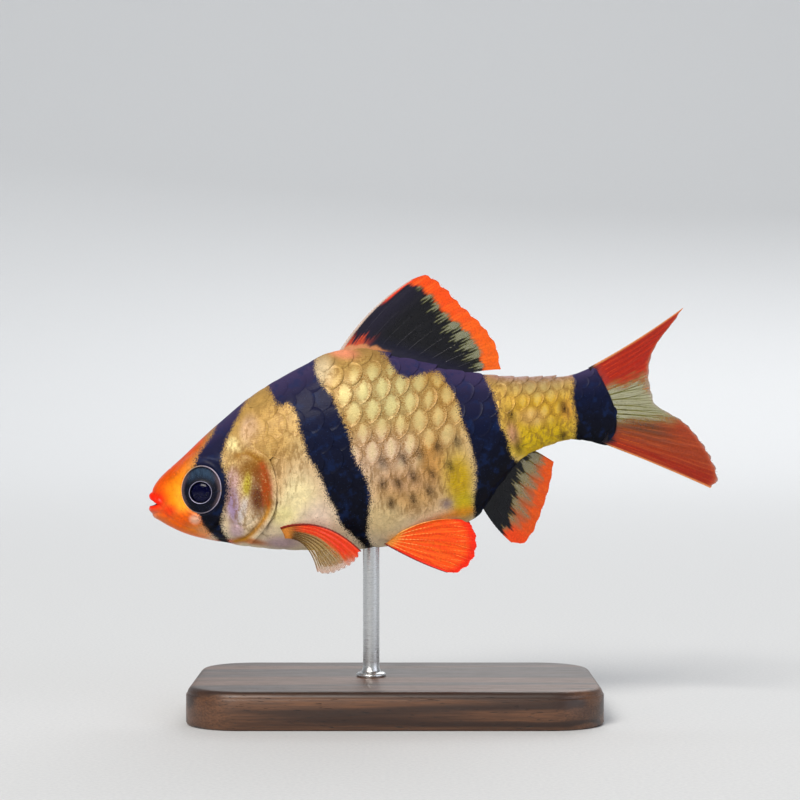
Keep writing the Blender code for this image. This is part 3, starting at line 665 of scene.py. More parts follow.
def pigmented_ground(put, p):
    """The colour of the skin before its net and its bars. p holds the patterns by name."""
    broad = put("MapRange", [p["coarse"], 0.3, 0.7, 0.86, 1.08], **SMOOTH)
    close = put("MapRange", [p["grain"], 0.3, 0.7, -0.09, 0.09], **SMOOTH)
    tone = put("Math", [broad, close], **PLUS)
    ground = put("VectorMath", {0: p["tint"], "Scale": tone}, operation="SCALE")
    freckles = [(p["cells"], 0.32, 0.14), (p["coarse"], 0.45, 0.62), (p["net"], 0, 0.6, 0.32, 0.6)]
    grit = [(p["grit"], 0.48, 0.62, 0, 0.55), (p["net"], 0, 0.7, 0.16, 0.8)]
    streaks = [(p["streaks"], 0.46, 0.6, 0, 0.6), (p["net"], 0.08, 0.3), (p["net"], 0.75, 0.45)]
    return coated(put, ground, [("#6f4a1c", freckles), ("#8f6828", grit), ("#84602c", streaks)])


print(len(SKIN_NOISE), "noises and", len(SKIN_CELLS), "sizes of cells")

# %% [markdown]
# ### The net over the scales, and the flecks of the cheek
#
# Each scale has a pale heart, and brown pigment between the hearts reads as a net. The mesh stores where a
# point lies on its scale, so the heart is a pointed lens in those two numbers. Growth lines fan out from
# the root. Real ones are some 0.05 mm apart, and these 0.35 mm, so that they show. The head has no scales:
# rust and gold flecks lie over its cheek.

# %% Net and flecks
HEART_AT = 0.36
HEART_NARROWS = 1.85
HEART_SPREADS = 1.15
LINE_FAN = 1.6
LINES_REACH_MM = 3.9
LINES_APART_MM = 0.35


def netted(put, p, ground, relief):
    """Ground and relief of a scale with its heart, its brown surround and its growth lines."""
    lie = put("SeparateXYZ", [p["lie"]], out=None)
    along, across = lie.outputs[0], lie.outputs[1]
    offset = put("Math", [put("Math", [along, HEART_AT], operation="SUBTRACT")], operation="ABSOLUTE")
    lens = mask(put, [offset, HEART_NARROWS])
    rough = put("MapRange", [p["grain"], 0.3, 0.7, -0.2, 0.2], **SMOOTH)
    own = put("MapRange", [p["own"], 0, 1, -0.04, 0.22])
    for part in (mask(put, [across, across, HEART_SPREADS]), rough, own):
        lens = put("Math", [lens, part], **PLUS)
    heart = [(lens, 0.85, 0.2), (p["net"], 0.4, 1, 0, 0.24)]
    surround = [(lens, 0.58, 1.02), (p["fine"], 0.36, 0.58, 0.3, 1), (p["net"], 0.2, 0.95, 0.05, 0.9)]
    between = mask(put, [*surround, (p["coarse"], 0.35, 0.6, 0.6, 1)])
    stipple = [(p["small_cells"], 0.42, 0.18), between, 0.7]
    angle = put("Math", [across, put("Math", [along, LINE_FAN], **PLUS)], operation="ARCTAN2")
    turns = mask(put, [angle, 2 * math.pi * LINES_REACH_MM / LINES_APART_MM])
    lines = put("Math", [turns], operation="SINE")
    crests = [(lines, 0.2, 1, 0, 0.03)]
    coats = [("#e6e09c", heart), ("#8a6022", between), ("#3e270c", stipple), ("#fff3dc", crests)]
    return coated(put, ground, coats), put("Math", [relief, mask(put, [lines, 0.05])], **PLUS)


def flecked(put, p, ground):
    """Ground of the bare head, with rust and gold flecks where the net is stored."""
    rust = [(p["flecks"], 0.48, 0.6, 0, 0.75), p["net"]]
    gold = [(p["flecks"], 0.42, 0.36, 0, 0.26), p["net"]]
    return coated(put, ground, [("#7c4c1c", rust), ("#ead98e", gold)])


print("growth lines every", LINES_APART_MM, "mm")

# %% [markdown]
# ### The bars, and the skin's two finishes
#
# A bar's edge is a crowd of single black cells, so the stored depth is shifted by noises and cells before
# it is cut. Fish skin refracts as water and protein do, about 1.4. Its gloss is low, because the guanine
# under it scatters light, and a thin clear coat makes it wet. The finish is made twice: moist skin for the
# head, and guanine-backed scales, a little more metallic, for the coats.

# %% The two finishes of the skin
SKIN_IOR = 1.4
SKIN_STORES = ("tint", "ink", "net", "smudge", "bar")
FLECK_NOISE = {"flecks": (0.24, 5, 0.65)}


def body_finish(name, scaled):
    """Wet fish skin, painted; with scaled it is the skin over a coat of scales."""
    material, put, where = new_finish(name)
    p = sources(put, where, SKIN_STORES, SKIN_NOISE, SKIN_CELLS)
    ground = pigmented_ground(put, p)
    relief = mask(put, [p["fine"], 0.4])
    shifts = [
        put("MapRange", [p["grain"], 0.25, 0.75, -0.16, 0.16]),
        put("MapRange", [p["fine"], 0.25, 0.75, -0.26, 0.26]),
        put("MapRange", [p["small_cells"], 0.5, 0.08, -0.2, 0.42], **SMOOTH),
    ]
    if scaled:
        p.update(sources(put, where, ["lie", "own"]))
        ground, relief = netted(put, p, ground, relief)
        shifts.append(put("MapRange", [p["own"], 0, 1, -0.08, 0.08]))
    else:
        p.update(sources(put, where, noises=FLECK_NOISE))
        ground = flecked(put, p, ground)
    stain = [p["smudge"], (p["fine"], 0.3, 0.55, 0.45, 1)]
    depth = p["bar"]
    for shift in shifts:
        depth = put("Math", [depth, shift], **PLUS)
    barred = put("MapRange", [depth, -0.2, 0.22], **SMOOTH)
    bluer, glints = [(p["coarse"], 0.5, 0.68, 0, 0.45)], [(p["cells"], 0.15, 0.05, 0, 0.3)]
    night = coated(put, p["ink"], [("#0e2550", bluer), ("#3f629c", glints)])
    wet = put("MapRange", [p["grain"], 0.3, 0.7, 0.3, 0.44], **SMOOTH)
    inputs = {
        "Base Color": coated(put, ground, [("#2b1a12", stain), (night, barred)]),
        "Metallic": put("MapRange", [barred, 0, 1, 0.12 if scaled else 0.04, 0], **SMOOTH),
        "Roughness": put("Math", [wet, mask(put, [barred, 0.2])], **PLUS),
        "Normal": put("Bump", {"Height": relief, "Distance": 0.03 * MM}),
        "IOR": SKIN_IOR,
        "Specular IOR Level": 0.13,
        "Coat Weight": 0.04,
        "Coat Roughness": 0.16,
    }
    close_finish(put, inputs)
    return material


smooth_skin = body_finish("moist_fish_skin", scaled=False)
scale_skin = body_finish("guanine_scales", scaled=True)
print("the scales' finish has", len(scale_skin.node_tree.nodes), "nodes")

# %% [markdown]
# ## The skin
#
# The real skin is one sheet from the lips to the tail fin, so it is one grid here, with no seam. Its
# columns are upright sections, but near the gill opening and the tail fin's root they bend to run along
# those lines. A column along a fold can be pushed up, over and back under, which makes the gill cover's
# thin overhanging edge from the same sheet.

# %% Lines that the skin's columns follow
GILL_SLIT = [
    (11.9, 19), (11, 15), (10.9, 12.4), (12.2, 10.9), (13.4, 9.3), (14, 7.3), (14.05, 5.6),
    (13.7, 3.9), (12.75, 2.3), (11.6, 1), (11, 0.1), (10.65, -2),
]
TAIL_FIN_ROOT = [
    (48.1, 22.5), (48.75, 19.6), (49.6, 17.9), (50.5, 16), (51, 14), (50.8, 12.4),
    (50, 11.1), (49.2, 8.5),
]
SLIT_COLUMN = 13.0
ROOT_COLUMN = 50.6
RING = 288
ring_angles = -math.pi / 2 + 2 * math.pi * np.arange(RING) / RING


def line_x(line, z):
    """X of a falling line at the heights z."""
    path = through(line, 90)[::-1]
    return np.interp(z, path[:, 1], path[:, 0])


def meets(line, angles):
    """X where a line in the side view meets the body at each angle."""
    x = np.full(len(angles), float(np.mean([p[0] for p in line])))
    for _ in range(60):
        x = 0.5 * x + 0.5 * line_x(line, on_body(x, angles)[..., 2])
    return x


slit_x = meets(GILL_SLIT, ring_angles)
root_x = meets(TAIL_FIN_ROOT, ring_angles)
print("the gill slit reaches back to X", slit_x.max().round(1))

# %% [markdown]
# ## Folds and forms of the head
#
# Up close a fish's head is full of small forms: lips that roll out, creases where thin bones meet,
# nostrils, and rows of tiny pores. They could be sculpted, or displaced by a picture. Here each is a hump
# or a groove along a drawn line, so each has a place and a size in millimetres.

# %% Folds and forms of the head
EYE_X = 6.2
EYE_Z = 6.45
EYE_HALF_LENGTH = 2.3
EYE_HALF_HEIGHT = 2.6
EYE_DEPTH = 1.55
EYE_BULGE = 0.62
MOUTH_Z = 4.95
LIP_X = BACK_LINE[0][0]
MOUTH_FALL = 0.27
MOUTH_CORNER_X = 1.2
MOUTH_HALF_OPEN = 0.4
CLEFT_DEPTH = MOUTH_CORNER_X + 0.15 - LIP_X
LIP_ROLL = 0.2
LIP_HALF = 0.34
CORNER_CREASE = 0.14
GROOVE_BEHIND_LIP = 0.07
NOSTRILS = [((3.3, 8), 0.2), ((3.78, 8.25), 0.15)]
# Creases as (line, height or depth, width)
CREASES = [
    ([(1.5, 5.5), (2.3, 4.6), (2.9, 3.7)], -0.09, 0.16),
    ([(1.3, 4.5), (2.6, 3.3), (4.2, 2.4), (6.2, 1.75)], -0.06, 0.16),
    ([(3.5, 4.5), (4.7, 3.2), (6.6, 2.9), (8.6, 4)], -0.06, 0.18),
    ([(9.35, 9.9), (9.2, 6.6), (9.1, 4.2), (8.4, 2.7), (6.9, 1.9)], -0.12, 0.2),
    ([(8.95, 9.6), (8.8, 6.6), (8.7, 4.3), (8, 3), (6.8, 2.3)], 0.06, 0.25),
    ([(9.4, 2.7), (11, 2.6), (12.7, 3.7)], -0.07, 0.14),
    ([(4, 9.2), (6.2, 9.95), (8.4, 9.3)], 0.08, 0.4),
    ([(7.4, 1), (10.2, 0.95), (12.3, 2)], -0.07, 0.11),
    ([(7.6, 0.6), (10, 0.45), (11.6, 1)], -0.06, 0.1),
    ([(1.4, 7.3), (2.6, 7), (3.1, 6)], -0.04, 0.25),
]
GILL_COVER = [
    (9.3, 8.4), (9.1, 5.6), (9.5, 2.9), (10.4, 1.3), (11.6, 2), (12.7, 3.5), (13.25, 5.4),
    (13.25, 7.3), (12.6, 9), (11.2, 10), (9.9, 9.7),
]
GILL_WINDOW = ((12.45, 5.8), (1.2, 2.3), -5)
PORE_LINES = [
    [(3.4, 4.2), (4.6, 3), (6.6, 2.7), (8.7, 3.7)],
    [(8.95, 8.8), (8.75, 6), (8.5, 3.8)],
    [(2.6, 8.6), (4.4, 9.9), (6.6, 10.9)],
]
PORES_A_LINE = 6
PORE_RADIUS = 0.1
PORE_DEPTH = 0.07
COVER_RISE = 0.1
WINDOW_SINK = 0.05
NOSTRIL_RIM = 0.045
NOSTRIL_DEPTH = 0.16


def head_relief(x, z):
    height = np.zeros_like(x)
    for line, rise, width in CREASES:
        distance, share = beside_line(x, z, line)
        height += rise * near(distance, width) * ramp(share, 0, 0.12) * ramp(1 - share, 0, 0.12)
    height += COVER_RISE * ramp(depth_inside(x, z, GILL_COVER), -0.03, 0.1) * ramp(x, 9.6, 11.2)
    ring = oval(x, z, *GILL_WINDOW)
    height -= WINDOW_SINK * near(ring - 1, 0.1)
    height -= WINDOW_SINK * ramp(1 - ring, 0, 0.4)
    for centre, radius in NOSTRILS:
        out = np.hypot(x - centre[0], z - centre[1])
        rim = NOSTRIL_RIM * near(out - 1.4 * radius, 0.6 * radius)
        height += rim - NOSTRIL_DEPTH * near(out, 0.8 * radius)
    for line in PORE_LINES:
        for centre in through(line, PORES_A_LINE):
            height -= PORE_DEPTH * near(np.hypot(x - centre[0], z - centre[1]), PORE_RADIUS)
    return height


def lips(x, z):
    """The lips' rolls as a height, and how far the cleft of the mouth pushes back."""
    away = np.abs(z - (MOUTH_Z - MOUTH_FALL * (x - LIP_X)))
    share = np.clip((x - LIP_X) / (MOUTH_CORNER_X - LIP_X), 0, 1)
    half_open = MOUTH_HALF_OPEN * (1 - share) ** 0.8 + 0.03
    past = np.clip(x - MOUTH_CORNER_X, 0, None)
    push = CLEFT_DEPTH * (1 - share) ** 0.5 * np.clip(1 - away / half_open, 0, 1) ** 0.75
    crease = -CORNER_CREASE * near(away, 0.1) * near(past, 0.35) * ramp(share, 0.4, 1)
    flatter = 1 - 0.75 * ramp(x, 0.8, 2)
    roll = LIP_ROLL * near(away - half_open - 0.32, LIP_HALF) * flatter * ramp(2.6 - x, 0, 0.9)
    behind = -GROOVE_BEHIND_LIP * near(away - half_open - 0.85, 0.16) * ramp(2.4 - x, 0, 0.9)
    return crease + roll + behind, np.where(x < MOUTH_CORNER_X + 0.05, push, 0)


print(len(CREASES), "creases and", PORES_A_LINE * len(PORE_LINES), "sensory pores a side")

# %% [markdown]
# ## The seat of the eye
#
# The eye looks out of the slope of the head, a little forward and up, so it gets axes of its own. The skin
# round it moves along its gaze until it meets the eye in a soft, low rim, and under the eye it sinks out of
# sight. Cutting a hole would leave an edge to close.

# %% The eye's own frame
EYE_RIM = 1.0
EYE_PLANE = EYE_DEPTH - EYE_BULGE
RIM_HEIGHT = 0.16
SEAT_DROP = 0.7
GAZE_STEP = 0.05


def eye_frame():
    """Centre and axes of the left eye; the third axis looks out of the head."""
    step = GAZE_STEP
    along = (flank(EYE_X + step, EYE_Z) - flank(EYE_X - step, EYE_Z)) / (2 * step)
    up = (flank(EYE_X, EYE_Z + step) - flank(EYE_X, EYE_Z - step)) / (2 * step)
    outward = Vector((-float(along), -1, -float(up))).normalized()
    on_skin = Vector((EYE_X, -float(flank(EYE_X, EYE_Z)), EYE_Z))
    turn = outward.to_track_quat("Z", "Y").to_matrix()
    return np.array(on_skin - outward * EYE_PLANE), np.array(turn)


eye_centre, eye_turn = eye_frame()


def around_eye(points):
    """Distance of points from the left eye's axis in eye radii, and their height on it."""
    local = (points - eye_centre) @ eye_turn
    return np.hypot(local[..., 0] / EYE_HALF_LENGTH, local[..., 1] / EYE_HALF_HEIGHT), local[..., 2]


def socket_pull(points):
    """How far the skin moves along the gaze, so that a soft rim meets the eye."""
    out, height = around_eye(points)
    rim = EYE_PLANE - 0.05 + RIM_HEIGHT * near(out - 1.09, 0.075)
    seat = np.where(out < EYE_RIM, rim - SEAT_DROP * ramp(EYE_RIM - out, 0, 0.12), rim)
    hold = 1 - ramp(out, 1.12, 1.75)
    reach = ramp(height, EYE_PLANE - 2.2, EYE_PLANE - 1.2)
    return (seat - height) * hold * reach


print("the eye looks along", eye_turn[:, 2].round(2))

# %% [markdown]
# ## The gill cover's free edge, and the sheet's columns
#
# A fish breathes out under the hind edge of its gill cover, a thin flap over a slot. Two sheets with a gap
# would need closing. Instead the columns of the one sheet come close together here, and a table of steps
# lifts them, slides them back over the slot and brings them down under it.

# %% The steps of the gill's fold, and all the columns
# Each step: the column, its height over the body and how far it slides back over the gap, in mm
GILL_FOLD = [
    (12.2, 0.03, 0), (12.5, 0.06, 0), (12.7, 0.1, 0.03), (12.83, 0.14, 0.09),
    (12.92, 0.17, 0.17), (12.97, 0.18, 0.24), (13, 0.16, 0.3), (13.005, 0.1, 0.32),
    (13.010, 0.02, 0.28), (13.015, -0.1, 0.1), (13.02, -0.2, -0.12), (13.04, -0.28, -0.2),
    (13.1, -0.32, -0.06), (13.2, -0.3, 0), (13.4, -0.24, 0), (13.7, -0.17, 0),
]
COAT = 0.15
NOSE_RINGS = 30
NOSE_END = 0.75
CHEST_END = 16.0
TAIL_CAP = [(0.14, 0.85), (0.24, 0.5), (0.28, 0)]
# How far apart the columns stand, in mm
HEAD_STEP = 0.09
CHEST_STEP = 0.15
BODY_STEP = 0.4
GILL_TOP_Z = 10.9
SCALES_END_X = 15.0
LIPS_END_X = 3.2


def skin_columns():
    nose = LIP_X + (NOSE_END - LIP_X) * (np.arange(1, NOSE_RINGS + 1) / NOSE_RINGS) ** 2
    head = np.arange(NOSE_END + HEAD_STEP, GILL_FOLD[0][0] - 0.05, HEAD_STEP)
    fold = [step[0] for step in GILL_FOLD]
    chest = np.arange(GILL_FOLD[-1][0] + CHEST_STEP, CHEST_END, CHEST_STEP)
    rest = np.arange(16.3, ROOT_COLUMN, BODY_STEP)
    return np.concatenate([nose, head, fold, chest, rest, [ROOT_COLUMN]])


def bent_columns(columns):
    """X of every point: the columns lean to follow the gill slit and the tail fin's root."""
    gill = ramp(columns, 8, SLIT_COLUMN) * (1 - ramp(columns, 13.7, 19.5))
    tail = ramp(columns, 43, ROOT_COLUMN)
    x = columns[:, None] + gill[:, None] * (slit_x - SLIT_COLUMN)
    return x + tail[:, None] * (root_x - ROOT_COLUMN)


def mirrored(points, side):
    return points * np.stack([np.ones_like(side), side, np.ones_like(side)], -1)


def gill_fold(columns):
    """Lift and slide of every column at the free edge, and the coat's depth behind the gill."""
    coat = -COAT * ramp(columns, 12.4, 13.6) * (1 - 0.6 * ramp(columns, 48.5, 50.2))
    fold_at, rises, slides = np.array(GILL_FOLD).T
    in_fold = (columns >= fold_at[0]) & (columns <= fold_at[-1])
    lift = np.where(in_fold, np.interp(columns, fold_at, rises) - coat, 0)
    return lift, np.where(in_fold, np.interp(columns, fold_at, slides), 0), coat


def skin_points(columns):
    """The dressed skin as a grid of chart points, and how deep in the mouth each one lies."""
    x = bent_columns(columns)
    angles = np.broadcast_to(ring_angles, x.shape)
    plain = on_body(x, angles)
    outward = out_of_body(x, angles)
    run = unit(on_body(x + SLOPE_STEP, angles) - on_body(x - SLOPE_STEP, angles))
    side = np.where(plain[..., 1] > 0, -1, 1)
    is_head = x < SCALES_END_X
    lift, pushed, pull = np.zeros_like(x), np.zeros_like(x), np.zeros_like(x)
    head_x, head_z = x[is_head], plain[is_head][:, 2]
    roll, pushed[is_head] = lips(head_x, head_z)
    lift[is_head] = head_relief(head_x, head_z) + roll * (head_x < LIPS_END_X)
    pull[is_head] = socket_pull(mirrored(plain, side)[is_head])
    # The cover is free from the throat up to its top, and fades in at both ends
    step_lift, step_slide, coat = gill_fold(columns)
    slit_z = on_body(slit_x, ring_angles)[:, 2]
    from_belly = np.abs(np.angle(np.exp(1j * (ring_angles + math.pi / 2))))
    free = ramp(GILL_TOP_Z - slit_z, 0, 1.2) * ramp(from_belly, 0.08, 0.5)
    lift += coat[:, None] + step_lift[:, None] * free
    slide = step_slide[:, None] * free
    points = plain + outward * lift[..., None] + run * slide[..., None]
    points[..., 0] += pushed
    points += mirrored(pull[..., None] * eye_turn[:, 2], side)
    return points, pushed


columns = skin_columns()
print(len(columns), "columns of", RING, "points")

# %% [markdown]
# ## The skin becomes a piece
#
# The grid is closed at the nose by a fan of triangles and behind by a rounded edge whose halves share their
# last points. Its unwrap for the baked picture is the plainest one: round the body one way, along it the
# other.

# %% The skin becomes a piece
MOUTH_RED = "#7a0f0a"
MAP_LENGTH = ROOT_COLUMN + 2


def close_tail(grid):
    """Adds the rounded rear edge, whose last column lies in the middle plane."""
    last = grid[-1]
    rows = [last * [1, width, 1] + [back, 0, 0] for back, width in TAIL_CAP]
    return np.concatenate([grid, np.array(rows)])


def wrapped_uv(u, v, width):
    """Map corners of the quads between rows of points, each one width wide."""
    corners = [(u[:-1], v[:-1]), (u[:-1] + width, v[:-1]), (u[1:] + width, v[1:]), (u[1:], v[1:])]
    return np.stack([np.stack(corner, -1) for corner in corners], 2)


def make_skin():
    grid, pushed = skin_points(columns)
    grid = close_tail(grid)
    rows = len(grid)
    points = np.vstack([grid.reshape(-1, 3), grid[0].mean(axis=0)])
    index = np.arange(rows * RING).reshape(rows, RING)
    # The last column closes on itself: the right half uses the left half's points
    index[-1, RING // 2 + 1 :] = index[-1, 1 : RING // 2][::-1]
    j = np.arange(RING)
    k = (j + 1) % RING
    quads = np.stack([index[:-1][:, j], index[:-1][:, k], index[1:][:, k], index[1:][:, j]], -1)
    fan = np.stack([np.full(RING, rows * RING), index[0][k], index[0][j]], -1)
    stations = np.concatenate([columns, [ROOT_COLUMN + back for back, _ in TAIL_CAP]])
    v = (stations / MAP_LENGTH)[:, None] + 0 * j
    u = np.broadcast_to(j / RING, v.shape)
    nose_v = columns[0] / MAP_LENGTH
    nose_corners = [(0.5 / RING, nose_v / 2), (1 / RING, nose_v), (0, nose_v)]
    fan_uv = np.stack([np.column_stack([j / RING + right, 0 * j + up]) for right, up in nose_corners], 1)
    marks = paint(points[:, 0], points[:, 2])
    inside = np.zeros(len(points))
    inside[: pushed.size] = pushed.ravel()
    mouth = ramp(inside, 0.08, 0.3)[:, None]
    marks["tint"] = marks["tint"] * (1 - mouth) + linear(MOUTH_RED) * mouth
    used = np.unique(np.concatenate([quads.ravel(), fan.ravel()]))
    renumber = np.zeros(len(points), int)
    renumber[used] = np.arange(len(used))
    return make_piece(
        "skin",
        posed(points[used]),
        [renumber[quads.reshape(-1, 4)], renumber[fan]],
        smooth_skin,
        ["head", "lower_jaw", "trunk", "tail_stem", "gill_cover_left", "gill_cover_right"],
        {key: values[used] for key, values in marks.items()},
        [wrapped_uv(u, v, 1 / RING).reshape(-1, 4, 2), fan_uv],
    )


skin = make_skin()

# %% [markdown]
# ## Scales
#
# A barb's scales lie in rows like roof tiles and shrink towards the tail. Geometry Nodes lay one curved
# plate on every point of a flat plan of the flank. Plain arrays then roll the plan onto the body, so each
# plate bends with the flank below it, as a real scale does.

# %% The flat plan of the flank
# Stations along the fish, in mm: the height that the middle row follows, and the two spacings
ROW_AXIS = eased(
    [(9, 8), (12, 8.6), (20, 9.6), (28, 11.2), (36, 13.2), (44, 15.1), (51, 15.9)]
)
ALONG_PITCH = eased([(10, 1.8), (16, 2.03), (32, 2), (40, 1.6), (46, 1.4), (51, 1.15)])
ROW_PITCH = eased([(10, 2), (15, 2.3), (32, 2.25), (37, 1.75), (42, 1.42), (51, 1.15)])
PLAN_STEP = 0.25
PLAN_HEIGHT_STEP = 0.05
PLAN_X = np.arange(8, 52.01, PLAN_STEP)
PLAN_HEIGHTS = np.linspace(-16, 16, 641)
# Within this many mm of the belly's and the back's middle line the plan is squeezed
MARGIN = 0.7


def plan_tables():
    """For each X of the plan: the body angle at every height, and the belly's and the back's height."""
    angles = np.linspace(-math.pi / 2, math.pi / 2, 361)
    grid = on_body(PLAN_X[:, None], angles[None, :])
    steps = np.linalg.norm(np.diff(grid[..., 1:], axis=1), axis=2)
    arc = np.concatenate([np.zeros((len(PLAN_X), 1)), np.cumsum(steps, axis=1)], axis=1)
    table, low, high = [], [], []
    for x, row, length in zip(PLAN_X, grid, arc):
        height = length - np.interp(ROW_AXIS(x), row[:, 2], length)
        table.append(np.interp(PLAN_HEIGHTS, height, angles))
        low.append(height[0])
        high.append(height[-1])
    return np.array(table), np.array(low), np.array(high)


plan_angle, plan_low, plan_high = plan_tables()


def roll_angle(x, height):
    """Body angle of places on the plan, squeezed at belly and back so that nothing crosses."""
    low, high = np.interp(x, PLAN_X, plan_low), np.interp(x, PLAN_X, plan_high)
    over = np.clip(height - (high - MARGIN), 0, None)
    under = np.clip((low + MARGIN) - height, 0, None)
    height = height - over + under
    height = height + MARGIN * (1 - np.exp(-over / MARGIN)) - MARGIN * (1 - np.exp(-under / MARGIN))
    i = np.clip((x - PLAN_X[0]) / PLAN_STEP, 0, len(PLAN_X) - 1.001)
    j = np.clip((height - PLAN_HEIGHTS[0]) / PLAN_HEIGHT_STEP, 0, len(PLAN_HEIGHTS) - 1.001)
    i0, j0 = i.astype(int), j.astype(int)
    s, t = i - i0, j - j0
    near_row = plan_angle[i0, j0] * (1 - t) + plan_angle[i0, j0 + 1] * t
    far_row = plan_angle[i0 + 1, j0] * (1 - t) + plan_angle[i0 + 1, j0 + 1] * t
    return near_row * (1 - s) + far_row * s


print("the flank unrolls to", round(float((plan_high - plan_low).max()), 1), "mm high")

# %% [markdown]
# ### Where each scale grows
#
# Scales start at the gill opening and end just before the tail fin. Each row is half a scale further on
# than the next, and both spacings shrink towards the tail. A loop finds the places, and those on the gill,
# the fins or the middle line are left out.

# %% Where each scale grows
SCALE_HALF_LENGTH = 0.76
SCALE_HALF_HEIGHT = 0.67
ROWS_EACH_WAY = 8
FIRST_SCALE_X = 10.2
LAST_SCALE_X = 51.5
FIRST_SCALE_BEHIND_SLIT = 0.55
LAST_SCALE_BEFORE_ROOT = 0.5
ROW_SHARE_TO_EDGE = 0.3


def scale_roots():
    """Plan places of one side's scales, in rows offset by half a step."""
    roots = []
    x = FIRST_SCALE_X
    while x < LAST_SCALE_X:
        pitch = float(ALONG_PITCH(x))
        for row in range(-ROWS_EACH_WAY, ROWS_EACH_WAY + 1):
            at = x + (0.5 * pitch if row % 2 else 0)
            roots.append((at, row * float(ROW_PITCH(at)), 0))
        x += pitch
    roots = np.array(roots)
    at, height = roots[:, 0], roots[:, 1]
    low, high = np.interp(at, PLAN_X, plan_low), np.interp(at, PLAN_X, plan_high)
    margin = ROW_SHARE_TO_EDGE * ROW_PITCH(at)
    z = on_body(at, roll_angle(at, height))[:, 2]
    behind_gill = at > line_x(GILL_SLIT, z) + FIRST_SCALE_BEHIND_SLIT
    before_fin = at < line_x(TAIL_FIN_ROOT, z) - LAST_SCALE_BEFORE_ROOT
    return roots[(height > low + margin) & (height < high - margin) & behind_gill & before_fin]


roots = scale_roots()
print(len(roots), "scales a side")

# %% [markdown]
# ### One plate
#
# A barb's scale is a thin round plate with a low dome, whose free edge stands a little off the next.
# Hundreds are laid, so one has only a few dozen faces: a square grid pressed into a disc, with a rim. It
# stores where each point lies on it, for the paint to read.

# %% One plate
PLATE_CELLS = 6
PLATE_TILT = 0.085
PLATE_DOME = 0.035
PLATE_THICK = 0.035
UNDERSIDE_SHARE = 0.97


def plate_points():
    """A disc of square cells: its lie runs from -1 at the root to 1 at the free edge."""
    line = np.linspace(-1, 1, PLATE_CELLS + 1)
    a, b = np.meshgrid(line, line, indexing="ij")
    along = a * np.sqrt(1 - b * b / 2)
    across = b * np.sqrt(1 - a * a / 2)
    height = PLATE_TILT * along + PLATE_DOME * (1 - across**2)
    return np.stack([along, across, height], -1).reshape(-1, 3)


def make_plate():
    top = plate_points()
    side = PLATE_CELLS + 1
    index = np.arange(side * side).reshape(side, side)
    rim = [*index[0, :-1], *index[:-1, -1], *index[-1, :0:-1], *index[:0:-1, 0]]
    under = top[rim] * [UNDERSIDE_SHARE, UNDERSIDE_SHARE, 1] - [0, 0, PLATE_THICK]
    points = np.vstack([top, under])
    quads = grid_faces(side, side).tolist()
    count = len(rim)
    below = [len(top) + k for k in range(count)]
    skirt = [[rim[k], below[k], below[(k + 1) % count], rim[(k + 1) % count]] for k in range(count)]
    mesh = bpy.data.meshes.new("plate")
    mesh.from_pydata(points.tolist(), [], [f[::-1] for f in quads] + skirt + [below[::-1]])
    mesh.update()
    store(mesh, "lie", np.vstack([top[:, :2], top[rim][:, :2]]))
    mesh.shade_smooth()
    return new_object("plate", mesh)


plate = make_plate()
print("one plate has", len(plate.data.polygons), "faces")

# %% [markdown]
# ### The node tree that lays the scales
#
# A loop could copy the plate, but a tree does it at once: it puts the plate on each point of the plan with
# its own size, a small random turn and a random number for the paint. Realize Instances makes it one mesh.

# %% Laying the scales with Geometry Nodes
SCALE_TURN = math.radians(4)
OWN_NUMBER_SEED = 7.0


def new_tree(name, inputs):
    """A node group with the named inputs beside its Geometry, its `put`, and what it is given."""
    tree = bpy.data.node_groups.new(name, "GeometryNodeTree")
    for key, kind in {"Geometry": "Geometry", **inputs}.items():
        tree.interface.new_socket(key, in_out="INPUT", socket_type="NodeSocket" + kind)
    tree.interface.new_socket("Geometry", in_out="OUTPUT", socket_type="NodeSocketGeometry")
    put = functools.partial(add, tree)
    return tree, put, put("NodeGroupInput", out=None).outputs


def close_tree(put, geometry, finish_of):
    """Ends a tree as the export needs it: real geometry with its material set."""
    real = put("GeometryNodeRealizeInstances", [geometry])
    finished = put("GeometryNodeSetMaterial", {"Geometry": real, "Material": finish_of})
    put("NodeGroupOutput", [finished], out=None)


def scale_tree():
    kinds = {"Plate": "Object", "Turn": "Float", "Seed": "Int", "Finish": "Material"}
    tree, put, given = new_tree("lay_scales", kinds)
    limits = {2: put("Math", [given["Turn"], -1], **TIMES), 3: given["Turn"], "Seed": given["Seed"]}
    turn = put("FunctionNodeRandomValue", limits, out=1, data_type="FLOAT")
    inputs = {
        "Points": given["Geometry"],
        "Instance": put("GeometryNodeObjectInfo", {"Object": given["Plate"]}, out="Geometry"),
        "Rotation": put("CombineXYZ", {2: turn}),
        "Scale": put("GeometryNodeInputNamedAttribute", {"Name": "size"}, data_type="FLOAT_VECTOR"),
    }
    laid = put("GeometryNodeInstanceOnPoints", inputs)
    seed = put("Math", [given["Seed"], OWN_NUMBER_SEED], **PLUS)
    own = put("FunctionNodeRandomValue", {"Seed": seed}, out=1, data_type="FLOAT")
    inputs = {"Geometry": laid, "Name": "own", "Value": own}
    named = put("GeometryNodeStoreNamedAttribute", inputs, data_type="FLOAT", domain="INSTANCE")
    close_tree(put, named, given["Finish"])
    return tree


def grown(name, mesh, tree, values):
    """The plain mesh that a Geometry Nodes tree makes from a mesh. Inputs are set by identifier."""
    carrier = new_object(name, mesh)
    modifier = carrier.modifiers.new("grow", "NODES")
    modifier.node_group = tree
    for item in tree.interface.items_tree:
        if item.item_type == "SOCKET" and item.in_out == "INPUT" and item.name in values:
            modifier[item.identifier] = values[item.name]
    bpy.context.view_layer.update()
    graph = bpy.context.evaluated_depsgraph_get()
    made = bpy.data.meshes.new_from_object(carrier.evaluated_get(graph))
    bpy.data.objects.remove(carrier)
    return made


